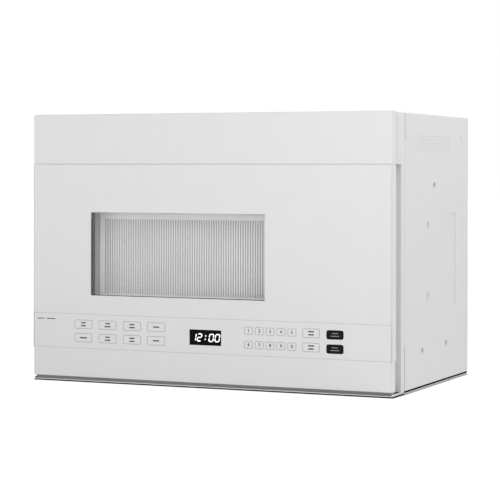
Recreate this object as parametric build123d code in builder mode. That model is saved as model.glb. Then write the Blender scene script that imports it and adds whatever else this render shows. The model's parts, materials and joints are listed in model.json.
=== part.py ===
from build123d import *
import math
import os

# Over the range microwave of the 24 inch class, in millimetres.
# X runs to the right and Z up. Depths are measured back from the door's face, towards the wall.
# The origin is on the underside of the base, in the middle of the body's width and depth.

# ---- overall sizes -------------------------------------------------------------------------
WIDTH = 606.0
DEPTH = 370.0
HEIGHT = 422.0

SHEET = 1.0  # painted steel sheet
MOULD = 2.5  # wall of the moulded plastic pieces
RUNNING = 0.05  # radial clearance of a shaft in its bore
FIT = 0.3  # gap round a piece that drops into another

# ---- depths, back from the door's face -----------------------------------------------------
DOOR_SKIN = 15.2  # outer moulding of the door
FINGER_GAP = 22.4  # from the outer moulding to the front frame
DOOR_CLEARANCE = 1.0  # air between the closed door and the front frame
FRAME_RETURN = 16.4  # front frame's flange, folded back round the body
CASE_SEAM = 1.4
JOGGLE = 12.0  # hidden tongue of the front frame, under the side panels
FASCIA_DEPTH = 19.0
FASCIA_SEAM = 0.5
LIP_SETBACK = 3.0

# ---- heights above the base ----------------------------------------------------------------
CASE_BOTTOM = 5.3
DOOR_BOTTOM = 8.1
TRIM_HEIGHT = 45.5
STRIP_HEIGHT = 53.7
FASCIA_HEIGHT = 78.5
DOOR_GAP = 2.0
CASE_DROP = 1.5  # the body's top lies this far under the fascia's top
CHAMBER_HEIGHT = 67.0  # air chamber between the base and the chassis floor
VENT_SPACE = 104.5  # cavity's roof to the top panel, for the vent blower

# ---- oven cavity ---------------------------------------------------------------------------
CAVITY_WIDTH = 356.0
CAVITY_FLOOR = 90.0
REAR_SPACE = 30.4  # cavity's rear to the rear panel
LEFT_DUCT = 73.0  # air duct between the left side panel and the cavity
CAVITY_CORNER = 12.0

# ---- door ----------------------------------------------------------------------------------
WINDOW_WIDTH = 298.0
WINDOW_HEIGHT = 130.5
WINDOW_FLANGE = 6.0
WINDOW_THICK = 4.0
MESH_MARGIN_SIDE = 7.0
MESH_MARGIN_TOP = 11.0
MESH_MARGIN_BOTTOM = 4.5
MESH_COLUMNS = 24
MESH_ROWS = 10
MESH_BAR = 2.0
CHOKE_BORDER = 22.0  # how far the choke reaches past the cavity's opening
CHOKE_LAND = 5.0  # edge of the choke panel held by the door's back cover
CHOKE_FRONT = 20.0  # depth of the choke skirt's front edge
COVER_WALL = 2.0
COVER_CORNER = 5.0
COVER_INSET = 7.5  # door's left edge to the back cover
COVER_MARGIN = 2.5  # door's top and foot to the back cover
FINGER_REACH = 18.0  # how far fingers reach in behind the door's free edge
TRIM_INSET = 1.0
INLAY = 0.8
INLAY_MARGIN = 0.7
DISPLAY_WIDTH = 53.6
DISPLAY_HEIGHT = 23.8
DISPLAY_RISE = 12.6  # strip's lower edge to the display
BOARD_THICK = 1.6
KEY_RISE = 0.3
KEY_CORNER = 2.0

# ---- door hinge and latch ------------------------------------------------------------------
PIVOT_INSET = 14.0
PIVOT_DEPTH = 20.0
HINGE_PIN = 3.0
HINGE_PIN_LENGTH = 12.5
HINGE_ARM_THICK = 3.0
HINGE_ARM_WIDTH = 10.0
HINGE_TAB_HEIGHT = 32.0
HINGE_TAB_WIDTH = 24.0
HINGE_TAB_THICK = 2.5
HINGE_UPPER_DROP = 16.0  # door's top to the upper hinge arm
HINGE_LOWER_RISE = 12.4  # door's foot to the lower hinge plate
HINGE_PLATE_WIDTH = 34.0
BUSH_WALL = 1.2
BUSH_LENGTH = 11.0
BUSH_FLANGE = 0.4
LATCH_X_INSET = 41.0  # door's free edge to the latch lever's middle
LATCH_THICK = 3.0
LATCH_TRAVEL = 5.0
LATCH_RISE = 83.9  # door's foot to the lever's foot
LATCH_DROP = 25.5  # door's top to the lever's top
LATCH_FRONT = 21.0
LATCH_BACK = 32.0
HOOK_REACH = 20.0
HOOK_HEIGHT = 10.0
HOOK_NOSE = 3.0
HOOK_RISE = 91.9  # door's foot to the lower hook
HOOK_DROP = 47.5  # door's top to the upper hook
SPRING_RADIUS = 3.0
SPRING_WIRE = 0.8
SPRING_LENGTH = 14.0

# ---- base and grease filters ---------------------------------------------------------------
BASE_SHEET = 1.2
LIP_HEIGHT = 3.0
BASE_BEND = 1.0  # outer radius of the lip's fold
BASE_FLANGE = 22.0
FILTER_WIDTH = 127.0
FILTER_LENGTH = 194.0
FILTER_THICK = 8.0
FILTER_FRAME = 9.0
FILTER_EDGE = 17.0  # side panel to the filter
FILTER_REAR = 25.0  # filter to the rear panel
FILTER_LIFT = 0.4
LAMP_WIDTH = 90.0
LAMP_LENGTH = 58.0
LAMP_FRONT = 72.0

# ---- turntable -----------------------------------------------------------------------------
TRAY_GAP = 6.0  # cavity's front and rear to the tray's rim
TRAY_THICK = 4.0
TRAY_RIM = 13.0
ROLLER_RADIUS = 8.0
ROLLER_WIDTH = 7.0
ROLLER_CIRCLE = 88.0
ROLLER_COUNT = 3
ROLLER_AXLE = 2.5
ROLLING_GAP = 0.2
RING_WIDTH = 6.0
RING_HEIGHT = 5.0
TURN_MOTOR_RADIUS = 26.0
TURN_MOTOR_HEIGHT = 20.0
COUPLER_STEM = 3.5
COUPLER_HUB = 12.0
COUPLER_LOBE = 20.0
COUPLER_HEIGHT = 12.0

# ---- vent blower ---------------------------------------------------------------------------
BLOWER_REAR = 79.0  # blower's axis to the rear panel
WHEEL_RADIUS = 36.0
WHEEL_EYE = 29.0
WHEEL_WIDTH = 66.0
BLADE_COUNT = 28
BLADE_THICK = 0.9
WHEEL_DISC = 1.5
VOLUTE_RADIUS = 42.0  # first quarter of the scroll, inside
VOLUTE_STEP = 5.0  # growth of each next quarter
SCROLL_WALL = 1.5
SCROLL_WIDTH = 74.0
SCROLL_INLET = 27.0
MOTOR_LENGTH = 80.0
MOTOR_SPACE = 103.0  # between the two scrolls
MOTOR_RADIUS = 34.0
BLOWER_SHAFT = 4.0
SHAFT_HOLE = 12.0

# ---- component bay -------------------------------------------------------------------------
WAVEGUIDE_WIDTH = 40.0
WAVEGUIDE_HEIGHT = 80.0
WAVEGUIDE_LENGTH = 110.0
WAVEGUIDE_FRONT = 145.0
WAVEGUIDE_DROP = 10.0  # cavity's roof to the waveguide's top
PORT_LENGTH = 84.0
PORT_HEIGHT = 50.0
ANTENNA_RADIUS = 9.0
MAGNETRON_SIZE = 80.0
MAGNETRON_LENGTH = 56.0
FIN_COUNT = 7
FAN_X_INSET = 88.0  # side panel to the cooling fan's axis
FAN_DROP = 50.0  # cavity's roof to the cooling fan's axis
FAN_REAR = 63.0  # fan's shroud to the rear panel
FAN_RADIUS = 50.0
FAN_BLADES = 5
FAN_SHAFT = 2.5

# ---- interfaces ----------------------------------------------------------------------------
CABINET_BOLT_RADIUS = 3.5
CABINET_BOLT_SPACING = 400.0
CABINET_BOLT_DEPTH = 130.0
GLAND_RADIUS = 9.0
HOOK_SLOT_WIDTH = 40.0
HOOK_SLOT_HEIGHT = 6.0
HOOK_SLOT_RISE = 34.0
HOOK_SLOT_SPACING = 230.0

# ---- places worked out from the sizes ------------------------------------------------------
FRONT = -DEPTH / 2
HALF = WIDTH / 2
INSIDE = HALF - SHEET
FACE = DOOR_SKIN + FINGER_GAP
DOOR_BACK = FACE - DOOR_CLEARANCE
RETURN_END = FACE + FRAME_RETURN
CASE_FRONT = RETURN_END + CASE_SEAM
CASE_REAR = DEPTH - SHEET
CASE_TOP = HEIGHT - CASE_DROP
CEILING = CASE_TOP - SHEET
FLANGE_FRONT = RETURN_END + JOGGLE + CASE_SEAM

FASCIA_BOTTOM = HEIGHT - FASCIA_HEIGHT
DOOR_TOP = FASCIA_BOTTOM - DOOR_GAP
STRIP_BOTTOM = DOOR_BOTTOM + TRIM_HEIGHT
STRIP_TOP = STRIP_BOTTOM + STRIP_HEIGHT

CAVITY_FRONT = FACE + SHEET
CAVITY_REAR = CASE_REAR - REAR_SPACE
CAVITY_LEFT = -INSIDE + LEFT_DUCT + SHEET
CAVITY_RIGHT = CAVITY_LEFT + CAVITY_WIDTH
CAVITY_TOP = CEILING - VENT_SPACE
CAVITY_X = (CAVITY_LEFT + CAVITY_RIGHT) / 2
CAVITY_Z = (CAVITY_FLOOR + CAVITY_TOP) / 2
CAVITY_MIDDLE = (CAVITY_FRONT + CAVITY_REAR) / 2
BAY_LEFT = CAVITY_RIGHT + SHEET
BAY_FLOOR = CHAMBER_HEIGHT + SHEET

COVER_LEFT = -HALF + COVER_INSET
COVER_RIGHT = HALF - FINGER_REACH
COVER_LOW = DOOR_BOTTOM + COVER_MARGIN
COVER_HIGH = DOOR_TOP - COVER_MARGIN
CHOKE_BACK = DOOR_BACK - COVER_WALL
TUNNEL_WIDTH = WINDOW_WIDTH + 2 * SHEET
TUNNEL_HEIGHT = WINDOW_HEIGHT + 2 * SHEET

PIVOT_X = -HALF + PIVOT_INSET
ARM_UPPER = DOOR_TOP - HINGE_UPPER_DROP
PLATE_LOWER = DOOR_BOTTOM + HINGE_LOWER_RISE
BUSH_RADIUS = HINGE_PIN + RUNNING + BUSH_WALL
PLATE_UPPER = ARM_UPPER - BUSH_FLANGE - HINGE_ARM_THICK
ARM_LOWER = PLATE_LOWER - BUSH_FLANGE - HINGE_ARM_THICK
LATCH_X = HALF - LATCH_X_INSET
LATCH_LOW = DOOR_BOTTOM + LATCH_RISE
LATCH_HIGH = DOOR_TOP - LATCH_DROP
HOOK_LOW = DOOR_BOTTOM + HOOK_RISE
HOOK_HIGH = DOOR_TOP - HOOK_DROP

TRAY_UNDERSIDE = CAVITY_FLOOR + 2 * ROLLER_RADIUS + 2 * ROLLING_GAP
ROLLER_Z = CAVITY_FLOOR + ROLLER_RADIUS + ROLLING_GAP
TRAY_RADIUS = (CAVITY_REAR - CAVITY_FRONT) / 2 - TRAY_GAP
FILTER_X = INSIDE - FILTER_EDGE - FILTER_WIDTH / 2
FILTER_FRONT = CASE_REAR - FILTER_REAR - FILTER_LENGTH
FILTER_MIDDLE = FILTER_FRONT + FILTER_LENGTH / 2
BLOWER_DEPTH = CASE_REAR - BLOWER_REAR
BLOWER_Z = CAVITY_TOP + SHEET + VOLUTE_RADIUS + 1.5 * VOLUTE_STEP + SCROLL_WALL
SCROLL_INNER = MOTOR_SPACE / 2
SCROLL_OUTER = SCROLL_INNER + SCROLL_WIDTH + 2 * SCROLL_WALL
FAN_X = INSIDE - FAN_X_INSET
FAN_HEIGHT = CAVITY_TOP - FAN_DROP
FAN_DEPTH = CASE_REAR - FAN_REAR
WAVEGUIDE_FOOT = CAVITY_TOP - WAVEGUIDE_DROP - WAVEGUIDE_HEIGHT

os.makedirs("parts", exist_ok=True)


# ---- helpers -------------------------------------------------------------------------------
def block(x, depth, z, mode=Mode.ADD):
    """A box given by its low and high limits across, back from the door's face, and up."""
    with Locations((sum(x) / 2, FRONT + sum(depth) / 2, sum(z) / 2)):
        Box(x[1] - x[0], depth[1] - depth[0], z[1] - z[0], mode=mode)


def upright(x, depth, z, radius, mode=Mode.ADD):
    """A cylinder along Z."""
    with Locations((x, FRONT + depth, sum(z) / 2)):
        Cylinder(radius, z[1] - z[0], mode=mode)


def rearward(x, depth, z, radius, mode=Mode.ADD):
    """A cylinder along Y."""
    with Locations((x, FRONT + sum(depth) / 2, z)):
        Cylinder(radius, depth[1] - depth[0], rotation=(90, 0, 0), mode=mode)


def crosswise(x, depth, z, radius, mode=Mode.ADD):
    """A cylinder along X."""
    with Locations((sum(x) / 2, FRONT + depth, z)):
        Cylinder(radius, x[1] - x[0], rotation=(0, 90, 0), mode=mode)


def span(a, b):
    """Two limits in rising order."""
    return (min(a, b), max(a, b))


def facing(depth, x=0.0, z=0.0):
    """Plane whose sketch X and Y are the model's X and Z; extrusion goes to the front."""
    return Plane(origin=(x, FRONT + depth, z), x_dir=(1, 0, 0), z_dir=(0, -1, 0))


def across(x, depth=DEPTH / 2, z=0.0):
    """Plane whose sketch X and Y are the model's Y and Z; extrusion goes to the right."""
    return Plane(origin=(x, FRONT + depth, z), x_dir=(0, 1, 0), z_dir=(1, 0, 0))


def store(piece, label):
    piece.part.label = label
    export_step(piece.part, f"parts/{label}.step")


# ---- base plate: floor, front lip, rim and flanges, with the filter and lamp openings -------
with BuildPart() as base_plate:
    with BuildSketch(Plane.XY):
        with Locations((0, FRONT + (LIP_SETBACK + CASE_REAR) / 2)):
            Rectangle(2 * INSIDE, CASE_REAR - LIP_SETBACK)
        with Locations((-FILTER_X, FRONT + FILTER_MIDDLE), (FILTER_X, FRONT + FILTER_MIDDLE)):
            Rectangle(FILTER_WIDTH + 2 * FIT, FILTER_LENGTH + 2 * FIT, mode=Mode.SUBTRACT)
        with Locations((0, FRONT + LAMP_FRONT + LAMP_LENGTH / 2)):
            Rectangle(LAMP_WIDTH + 2 * FIT, LAMP_LENGTH + 2 * FIT, mode=Mode.SUBTRACT)
    extrude(amount=BASE_SHEET)
    block((-INSIDE, INSIDE), (LIP_SETBACK, LIP_SETBACK + BASE_SHEET), (0, LIP_HEIGHT))
    for side in (-1, 1):
        edge = span(side * INSIDE, side * (INSIDE - BASE_SHEET))
        block(edge, (LIP_SETBACK, FLANGE_FRONT), (0, CASE_BOTTOM))
        block(edge, (FLANGE_FRONT, CASE_REAR), (0, BASE_FLANGE))
    block((-INSIDE, INSIDE), (CASE_REAR - BASE_SHEET, CASE_REAR), (0, BASE_FLANGE))
    foot_edges = base_plate.edges().filter_by(Axis.X).group_by(Axis.Z)[0]
    fillet(foot_edges.sort_by(Axis.Y)[0], radius=BASE_BEND)
store(base_plate, "base_plate")

# ---- front frame: one folded sheet round the cavity's opening -------------------------------
VENT_OPENING_WIDTH = 300.0
VENT_OPENING_HEIGHT = 52.0
VENT_OPENING_RISE = 10.0  # vent box floor to the opening
HOOK_SLOT_GAP = 4.0
hook_slots = [(low - HOOK_NOSE - 1, low + HOOK_HEIGHT + LATCH_TRAVEL + 1) for low in (HOOK_LOW, HOOK_HIGH)]
vent_z = FASCIA_BOTTOM + SHEET + VENT_OPENING_RISE + VENT_OPENING_HEIGHT / 2
arm_half = HINGE_ARM_WIDTH / 2

with BuildPart() as front_frame:
    block((-HALF, HALF), (FACE, RETURN_END), (CASE_BOTTOM, CASE_TOP))
    block((-HALF, HALF), (FASCIA_DEPTH + FASCIA_SEAM, FACE), (FASCIA_BOTTOM, CASE_TOP))
    open_sides = [front_frame.faces().sort_by(Axis.Y)[0], front_frame.faces().sort_by(Axis.Y)[-1]]
    offset(amount=-SHEET, openings=open_sides)
    block((-INSIDE, INSIDE), (FACE, CAVITY_FRONT), (FASCIA_BOTTOM, CEILING))
    # tongue that the side panels and the top panel lap over
    with BuildSketch(facing(RETURN_END - SHEET, z=(CASE_BOTTOM + CASE_TOP) / 2)):
        Rectangle(2 * INSIDE, CASE_TOP - CASE_BOTTOM - 2 * SHEET)
        offset(amount=-SHEET, mode=Mode.SUBTRACT)
    extrude(amount=-(SHEET + JOGGLE))
    block((CAVITY_LEFT, CAVITY_RIGHT), (FACE - SHEET, CAVITY_FRONT + SHEET),
          (CAVITY_FLOOR, CAVITY_TOP), mode=Mode.SUBTRACT)
    block((-VENT_OPENING_WIDTH / 2, VENT_OPENING_WIDTH / 2), (FACE - SHEET, CAVITY_FRONT + SHEET),
          (vent_z - VENT_OPENING_HEIGHT / 2, vent_z + VENT_OPENING_HEIGHT / 2), mode=Mode.SUBTRACT)
    for slot in hook_slots:
        block((LATCH_X - LATCH_THICK / 2 - HOOK_SLOT_GAP, LATCH_X + LATCH_THICK / 2 + HOOK_SLOT_GAP),
              (FACE - SHEET, CAVITY_FRONT + SHEET), slot, mode=Mode.SUBTRACT)
    for arm in (ARM_UPPER, ARM_LOWER):
        block((PIVOT_X - arm_half - SHEET, PIVOT_X + arm_half + SHEET), (FACE - SHEET, CAVITY_FRONT + SHEET),
              (arm - SHEET, arm + HINGE_ARM_THICK + SHEET), mode=Mode.SUBTRACT)
store(front_frame, "front_frame")

# ---- side panels: pressed sheet with a top and a rear flange --------------------------------
PANEL_FLANGE = 12.0
PRESSING = 1.0
SCREW_RADIUS = 1.8
SCREW_HEAD = 3.8
SCREW_HEAD_THICK = 1.6
SCREW_LENGTH = 8.0
DIMPLE_RADIUS = 6.5
LOUVRE_COUNT = 5
LOUVRE_PITCH = 5.2
LOUVRE_DROP = 55.5  # body's top to the lowest louvre
LOUVRE_PRESSING = 0.5
LOUVRE_DEPTHS = (107.0, 266.0)
RECESS_DEPTHS = (225.0, 304.0)
RECESS_HEIGHTS = (121.0, 266.0)
SCREW_CUP = 4.5
SCREW_SET = 3.0  # depth of the cup that a screw sits in
SIDE_SCREWS = ((194.0, CASE_TOP - 108.5), (137.0, 58.7), (255.0, 61.3))
SIDE_DIMPLES = ((162.6, 250.6), (162.0, 141.6), (CASE_REAR - 40.0, CASE_TOP - 36.5))


def press(side, depth, z, deep):
    """A shallow rectangular pressing into the side panel, of the same sheet thickness."""
    block(span(side * (INSIDE - deep), side * INSIDE),
          (depth[0] - SHEET, depth[1] + SHEET), (z[0] - SHEET, z[1] + SHEET))
    block(span(side * (HALF - deep), side * HALF), depth, z, mode=Mode.SUBTRACT)


def dimple(side, depth, z, radius, deep):
    """A round pressing into the side panel."""
    crosswise(span(side * (INSIDE - deep), side * INSIDE), depth, z, radius + SHEET)
    crosswise(span(side * (HALF - deep), side * HALF), depth, z, radius, mode=Mode.SUBTRACT)


def side_panel(side):
    with BuildPart() as panel:
        block(span(side * INSIDE, side * HALF), (CASE_FRONT, CASE_REAR), (CASE_BOTTOM, CASE_TOP))
        block(span(side * (INSIDE - PANEL_FLANGE), side * INSIDE),
              (FLANGE_FRONT, CASE_REAR), (CEILING - SHEET, CEILING))
        block(span(side * (INSIDE - PANEL_FLANGE), side * INSIDE),
              (CASE_REAR - SHEET, CASE_REAR), (BASE_FLANGE + SHEET, CEILING))
        press(side, RECESS_DEPTHS, RECESS_HEIGHTS, PRESSING)
        for row in range(LOUVRE_COUNT):
            foot = CASE_TOP - LOUVRE_DROP + row * LOUVRE_PITCH
            press(side, LOUVRE_DEPTHS, (foot, foot + LOUVRE_PITCH / 2 - SHEET), LOUVRE_PRESSING)
        for depth, z in SIDE_SCREWS:
            dimple(side, depth, z, SCREW_CUP, SCREW_SET)
            crosswise(span(side * (INSIDE - SCREW_SET - SHEET), side * HALF), depth, z,
                      SCREW_RADIUS + FIT, mode=Mode.SUBTRACT)
        for depth, z in SIDE_DIMPLES:
            dimple(side, depth, z, DIMPLE_RADIUS, PRESSING)
    return panel


store(side_panel(-1), "side_panel_left")
store(side_panel(1), "side_panel_right")

# ---- top panel: exhaust outlets, cabinet bolt holes and the cord's gland hole ---------------
GLAND_X = 240.0
GLAND_DEPTH = CASE_REAR - 39.0
GLAND_FLANGE = 3.5
outlet_front = BLOWER_DEPTH - VOLUTE_STEP / 2
outlet_back = BLOWER_DEPTH + VOLUTE_RADIUS + 2.5 * VOLUTE_STEP
outlet_x = (SCROLL_INNER + SCROLL_OUTER) / 2

with BuildPart() as top_panel:
    with BuildSketch(Plane.XY.offset(CEILING)):
        with Locations((0, FRONT + (CASE_FRONT + CASE_REAR) / 2)):
            Rectangle(2 * INSIDE, CASE_REAR - CASE_FRONT)
        outlet_y = FRONT + (outlet_front + outlet_back) / 2
        with Locations((-outlet_x, outlet_y), (outlet_x, outlet_y)):
            Rectangle(SCROLL_WIDTH, outlet_back - outlet_front, mode=Mode.SUBTRACT)
        with Locations((0, FRONT + CABINET_BOLT_DEPTH)), GridLocations(CABINET_BOLT_SPACING, 1, 2, 1):
            Circle(CABINET_BOLT_RADIUS, mode=Mode.SUBTRACT)
        with Locations((GLAND_X, FRONT + GLAND_DEPTH)):
            Circle(GLAND_RADIUS, mode=Mode.SUBTRACT)
    extrude(amount=SHEET)
store(top_panel, "top_panel")

BRACKET_LENGTH = 60.0
BRACKET_WIDTH = 30.0
BRACKET_THICK = 5.0

with BuildPart() as cabinet_bolt_brackets:
    with BuildSketch(Plane.XY.offset(CEILING)):
        with Locations((0, FRONT + CABINET_BOLT_DEPTH)), GridLocations(CABINET_BOLT_SPACING, 1, 2, 1):
            Rectangle(BRACKET_WIDTH, BRACKET_LENGTH)
            Circle(CABINET_BOLT_RADIUS, mode=Mode.SUBTRACT)
    extrude(amount=-BRACKET_THICK)
store(cabinet_bolt_brackets, "cabinet_bolt_brackets")

with BuildPart() as cord_gland:
    upright(GLAND_X, GLAND_DEPTH, (CEILING - GLAND_RADIUS, CASE_TOP), GLAND_RADIUS - FIT)
    upright(GLAND_X, GLAND_DEPTH, (CASE_TOP, HEIGHT), GLAND_RADIUS + GLAND_FLANGE)
    upright(GLAND_X, GLAND_DEPTH, (CEILING - GLAND_RADIUS, HEIGHT), GLAND_RADIUS / 2, mode=Mode.SUBTRACT)
store(cord_gland, "cord_gland")

# ---- rear panel: slots for the wall plate's hooks and a blanked-off rear outlet -------------
BLANK_WIDTH = 254.0
BLANK_HEIGHT = 82.0
BLANK_GROOVE = 2.0

with BuildPart() as rear_panel:
    with BuildSketch(facing(DEPTH, z=(CASE_BOTTOM + CASE_TOP) / 2)):
        Rectangle(WIDTH, CASE_TOP - CASE_BOTTOM)
    extrude(amount=SHEET)
    with BuildSketch(facing(DEPTH, z=HOOK_SLOT_RISE)):
        with GridLocations(HOOK_SLOT_SPACING, 1, 3, 1):
            Rectangle(HOOK_SLOT_WIDTH, HOOK_SLOT_HEIGHT)
    extrude(amount=SHEET, mode=Mode.SUBTRACT)
    with BuildSketch(facing(DEPTH, z=CEILING - BLANK_HEIGHT)):
        Rectangle(BLANK_WIDTH, BLANK_HEIGHT)
        Rectangle(BLANK_WIDTH - 2 * BLANK_GROOVE, BLANK_HEIGHT - 2 * BLANK_GROOVE, mode=Mode.SUBTRACT)
    extrude(amount=SHEET / 2, mode=Mode.SUBTRACT)
store(rear_panel, "rear_panel")

# ---- chassis floor: shelf that carries the components and roofs the air chamber -------------
DUCT_MARGIN = 6.0
LEG_HALF = 284.0

with BuildPart() as chassis_floor:
    block((-INSIDE + SHEET, INSIDE - SHEET), (CAVITY_FRONT, CASE_REAR - SHEET), (CHAMBER_HEIGHT, BAY_FLOOR))
    block((-INSIDE + DUCT_MARGIN, CAVITY_LEFT - SHEET - DUCT_MARGIN),
          (CASE_FRONT + JOGGLE + DUCT_MARGIN, CAVITY_REAR), (CHAMBER_HEIGHT - SHEET, BAY_FLOOR + SHEET),
          mode=Mode.SUBTRACT)
    for leg_front in (FLANGE_FRONT, CASE_REAR - BASE_SHEET - SHEET):
        block((-LEG_HALF, LEG_HALF), (leg_front, leg_front + SHEET), (BASE_SHEET, CHAMBER_HEIGHT))
store(chassis_floor, "chassis_floor")

# ---- vent fascia: moulding with slanted louvres in its top ----------------------------------
FASCIA_INSET = 0.7
LOUVRE_SLOTS = 18
LOUVRE_SLOT_WIDTH = 22.0
LOUVRE_SLOT_GAP = 5.0
LOUVRE_RIB = 8.0
LOUVRE_SLANT = 35.0
FASCIA_TAB = 16.0
FASCIA_TAB_WIDTH = 20.0
FASCIA_TAB_X = 255.0

with BuildPart() as vent_fascia:
    block((-HALF + FASCIA_INSET, HALF - FASCIA_INSET), (0, FASCIA_DEPTH), (FASCIA_BOTTOM, HEIGHT))
    fillet(vent_fascia.faces().sort_by(Axis.Y)[0].edges(), radius=1.2)
    offset(amount=-MOULD, openings=vent_fascia.faces().sort_by(Axis.Y)[-1])
    slot_pitch = LOUVRE_SLOT_WIDTH + LOUVRE_RIB
    with Locations((0, FRONT + FASCIA_DEPTH / 2, HEIGHT - MOULD / 2)):
        with GridLocations(slot_pitch, LOUVRE_SLOT_GAP, LOUVRE_SLOTS, 1):
            Box(LOUVRE_SLOT_WIDTH, LOUVRE_SLOT_GAP, 3 * MOULD, rotation=(LOUVRE_SLANT, 0, 0),
                mode=Mode.SUBTRACT)
    for side in (-1, 1):
        middle = side * FASCIA_TAB_X
        block((middle - FASCIA_TAB_WIDTH / 2, middle + FASCIA_TAB_WIDTH / 2),
              (FASCIA_DEPTH - MOULD, FASCIA_DEPTH + FASCIA_TAB), (CASE_TOP, HEIGHT))
store(vent_fascia, "vent_fascia")

# ---- charcoal filter behind the fascia ------------------------------------------------------
CHARCOAL_MARGIN = 6.0
CHARCOAL_THICK = 12.0
CHARCOAL_FRAME = 8.0

with BuildPart() as charcoal_filter:
    with BuildSketch(facing(FACE, z=vent_z)):
        Rectangle(VENT_OPENING_WIDTH + 2 * CHARCOAL_MARGIN, VENT_OPENING_HEIGHT + 2 * CHARCOAL_MARGIN)
    extrude(amount=CHARCOAL_THICK)
    with BuildSketch(facing(FACE - CHARCOAL_THICK, z=vent_z)):
        with GridLocations(VENT_OPENING_WIDTH / 4, 1, 4, 1):
            Rectangle(VENT_OPENING_WIDTH / 4 - CHARCOAL_FRAME, VENT_OPENING_HEIGHT)
    extrude(amount=-CHARCOAL_THICK / 4, mode=Mode.SUBTRACT)
store(charcoal_filter, "charcoal_filter")

# ---- grease filters: framed mesh pads in the base, with a pull tab --------------------------
PULL_WIDTH = 24.0
PULL_LENGTH = 10.0
PULL_THICK = 1.0
PAD_RECESS = 1.5


def grease_filter(side):
    middle = side * FILTER_X
    across_x = (middle - FILTER_WIDTH / 2, middle + FILTER_WIDTH / 2)
    along = (FILTER_FRONT, FILTER_FRONT + FILTER_LENGTH)
    top = FILTER_LIFT + FILTER_THICK
    with BuildPart() as pad:
        block(across_x, along, (FILTER_LIFT, top))
        pad_x = (across_x[0] + FILTER_FRAME, across_x[1] - FILTER_FRAME)
        pad_along = (along[0] + FILTER_FRAME, along[1] - FILTER_FRAME)
        block(pad_x, pad_along, (FILTER_LIFT, FILTER_LIFT + PAD_RECESS), mode=Mode.SUBTRACT)
        block(pad_x, pad_along, (top - PAD_RECESS, top), mode=Mode.SUBTRACT)
        block((middle - PULL_WIDTH / 2, middle + PULL_WIDTH / 2),
              (along[0] + FILTER_FRAME, along[0] + FILTER_FRAME + PULL_LENGTH),
              (FILTER_LIFT, FILTER_LIFT + PULL_THICK))
    return pad


store(grease_filter(-1), "grease_filter_left")
store(grease_filter(1), "grease_filter_right")

# ---- cooktop lamp and its hinged cover ------------------------------------------------------
COVER_THICK = 2.0
BARREL_RADIUS = 1.6
BULB_RADIUS = 13.0
SOCKET_RADIUS = 15.0
SOCKET_LENGTH = 24.0
LENS_RIBS = 9
LENS_PITCH = 5.5
LENS_MARGIN = 6.0
LENS_RIB = 1.2
lamp_middle = LAMP_FRONT + LAMP_LENGTH / 2

with BuildPart() as lamp_cover:
    block((-LAMP_WIDTH / 2, LAMP_WIDTH / 2), (LAMP_FRONT, LAMP_FRONT + LAMP_LENGTH - BARREL_RADIUS),
          (FILTER_LIFT, FILTER_LIFT + COVER_THICK))
    crosswise((-LAMP_WIDTH / 2, LAMP_WIDTH / 2), LAMP_FRONT + LAMP_LENGTH - BARREL_RADIUS,
              FILTER_LIFT + BARREL_RADIUS, BARREL_RADIUS)
    for rib in range(LENS_RIBS):
        rib_depth = LAMP_FRONT + LENS_MARGIN + rib * LENS_PITCH
        block((-LAMP_WIDTH / 2 + LENS_MARGIN, LAMP_WIDTH / 2 - LENS_MARGIN),
              (rib_depth, rib_depth + LENS_RIB),
              (FILTER_LIFT + COVER_THICK, FILTER_LIFT + COVER_THICK + SHEET))
store(lamp_cover, "lamp_cover")

with BuildPart() as cooktop_lamp:
    upright(0, lamp_middle, (CHAMBER_HEIGHT - SOCKET_LENGTH, CHAMBER_HEIGHT), SOCKET_RADIUS)
    upright(0, lamp_middle, (CHAMBER_HEIGHT - SOCKET_LENGTH - BULB_RADIUS, CHAMBER_HEIGHT - SOCKET_LENGTH),
            BULB_RADIUS)
    with Locations((0, FRONT + lamp_middle, CHAMBER_HEIGHT - SOCKET_LENGTH - BULB_RADIUS)):
        Sphere(BULB_RADIUS)
store(cooktop_lamp, "cooktop_lamp")

# ---- oven cavity ----------------------------------------------------------------------------
port_middle = WAVEGUIDE_FRONT + WAVEGUIDE_LENGTH / 2
port_z = WAVEGUIDE_FOOT + WAVEGUIDE_HEIGHT / 2
LAMP_PORT_DEPTH = 95.0
LAMP_PORT_Z = 180.0
LAMP_HOLE = 2.2

with BuildPart() as oven_cavity:
    block((CAVITY_LEFT - SHEET, CAVITY_RIGHT + SHEET), (CAVITY_FRONT, CAVITY_REAR + SHEET),
          (CAVITY_FLOOR - SHEET, CAVITY_TOP + SHEET))
    rear_corners = oven_cavity.edges().filter_by(Axis.Z).group_by(Axis.Y)[-1]
    fillet(rear_corners, radius=CAVITY_CORNER)
    offset(amount=-SHEET, openings=oven_cavity.faces().sort_by(Axis.Y)[0])
    block((CAVITY_RIGHT - SHEET, CAVITY_RIGHT + 2 * SHEET),
          (port_middle - PORT_LENGTH / 2, port_middle + PORT_LENGTH / 2),
          (port_z - PORT_HEIGHT / 2, port_z + PORT_HEIGHT / 2), mode=Mode.SUBTRACT)
    upright(CAVITY_X, CAVITY_MIDDLE, (CAVITY_FLOOR - 2 * SHEET, CAVITY_FLOOR + SHEET), COUPLER_HUB,
            mode=Mode.SUBTRACT)
    with BuildSketch(across(CAVITY_RIGHT - SHEET, LAMP_PORT_DEPTH, LAMP_PORT_Z)):
        with GridLocations(3 * LAMP_HOLE, 3 * LAMP_HOLE, 4, 4):
            RegularPolygon(LAMP_HOLE, 6)
    extrude(amount=3 * SHEET, mode=Mode.SUBTRACT)
store(oven_cavity, "oven_cavity")

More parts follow.
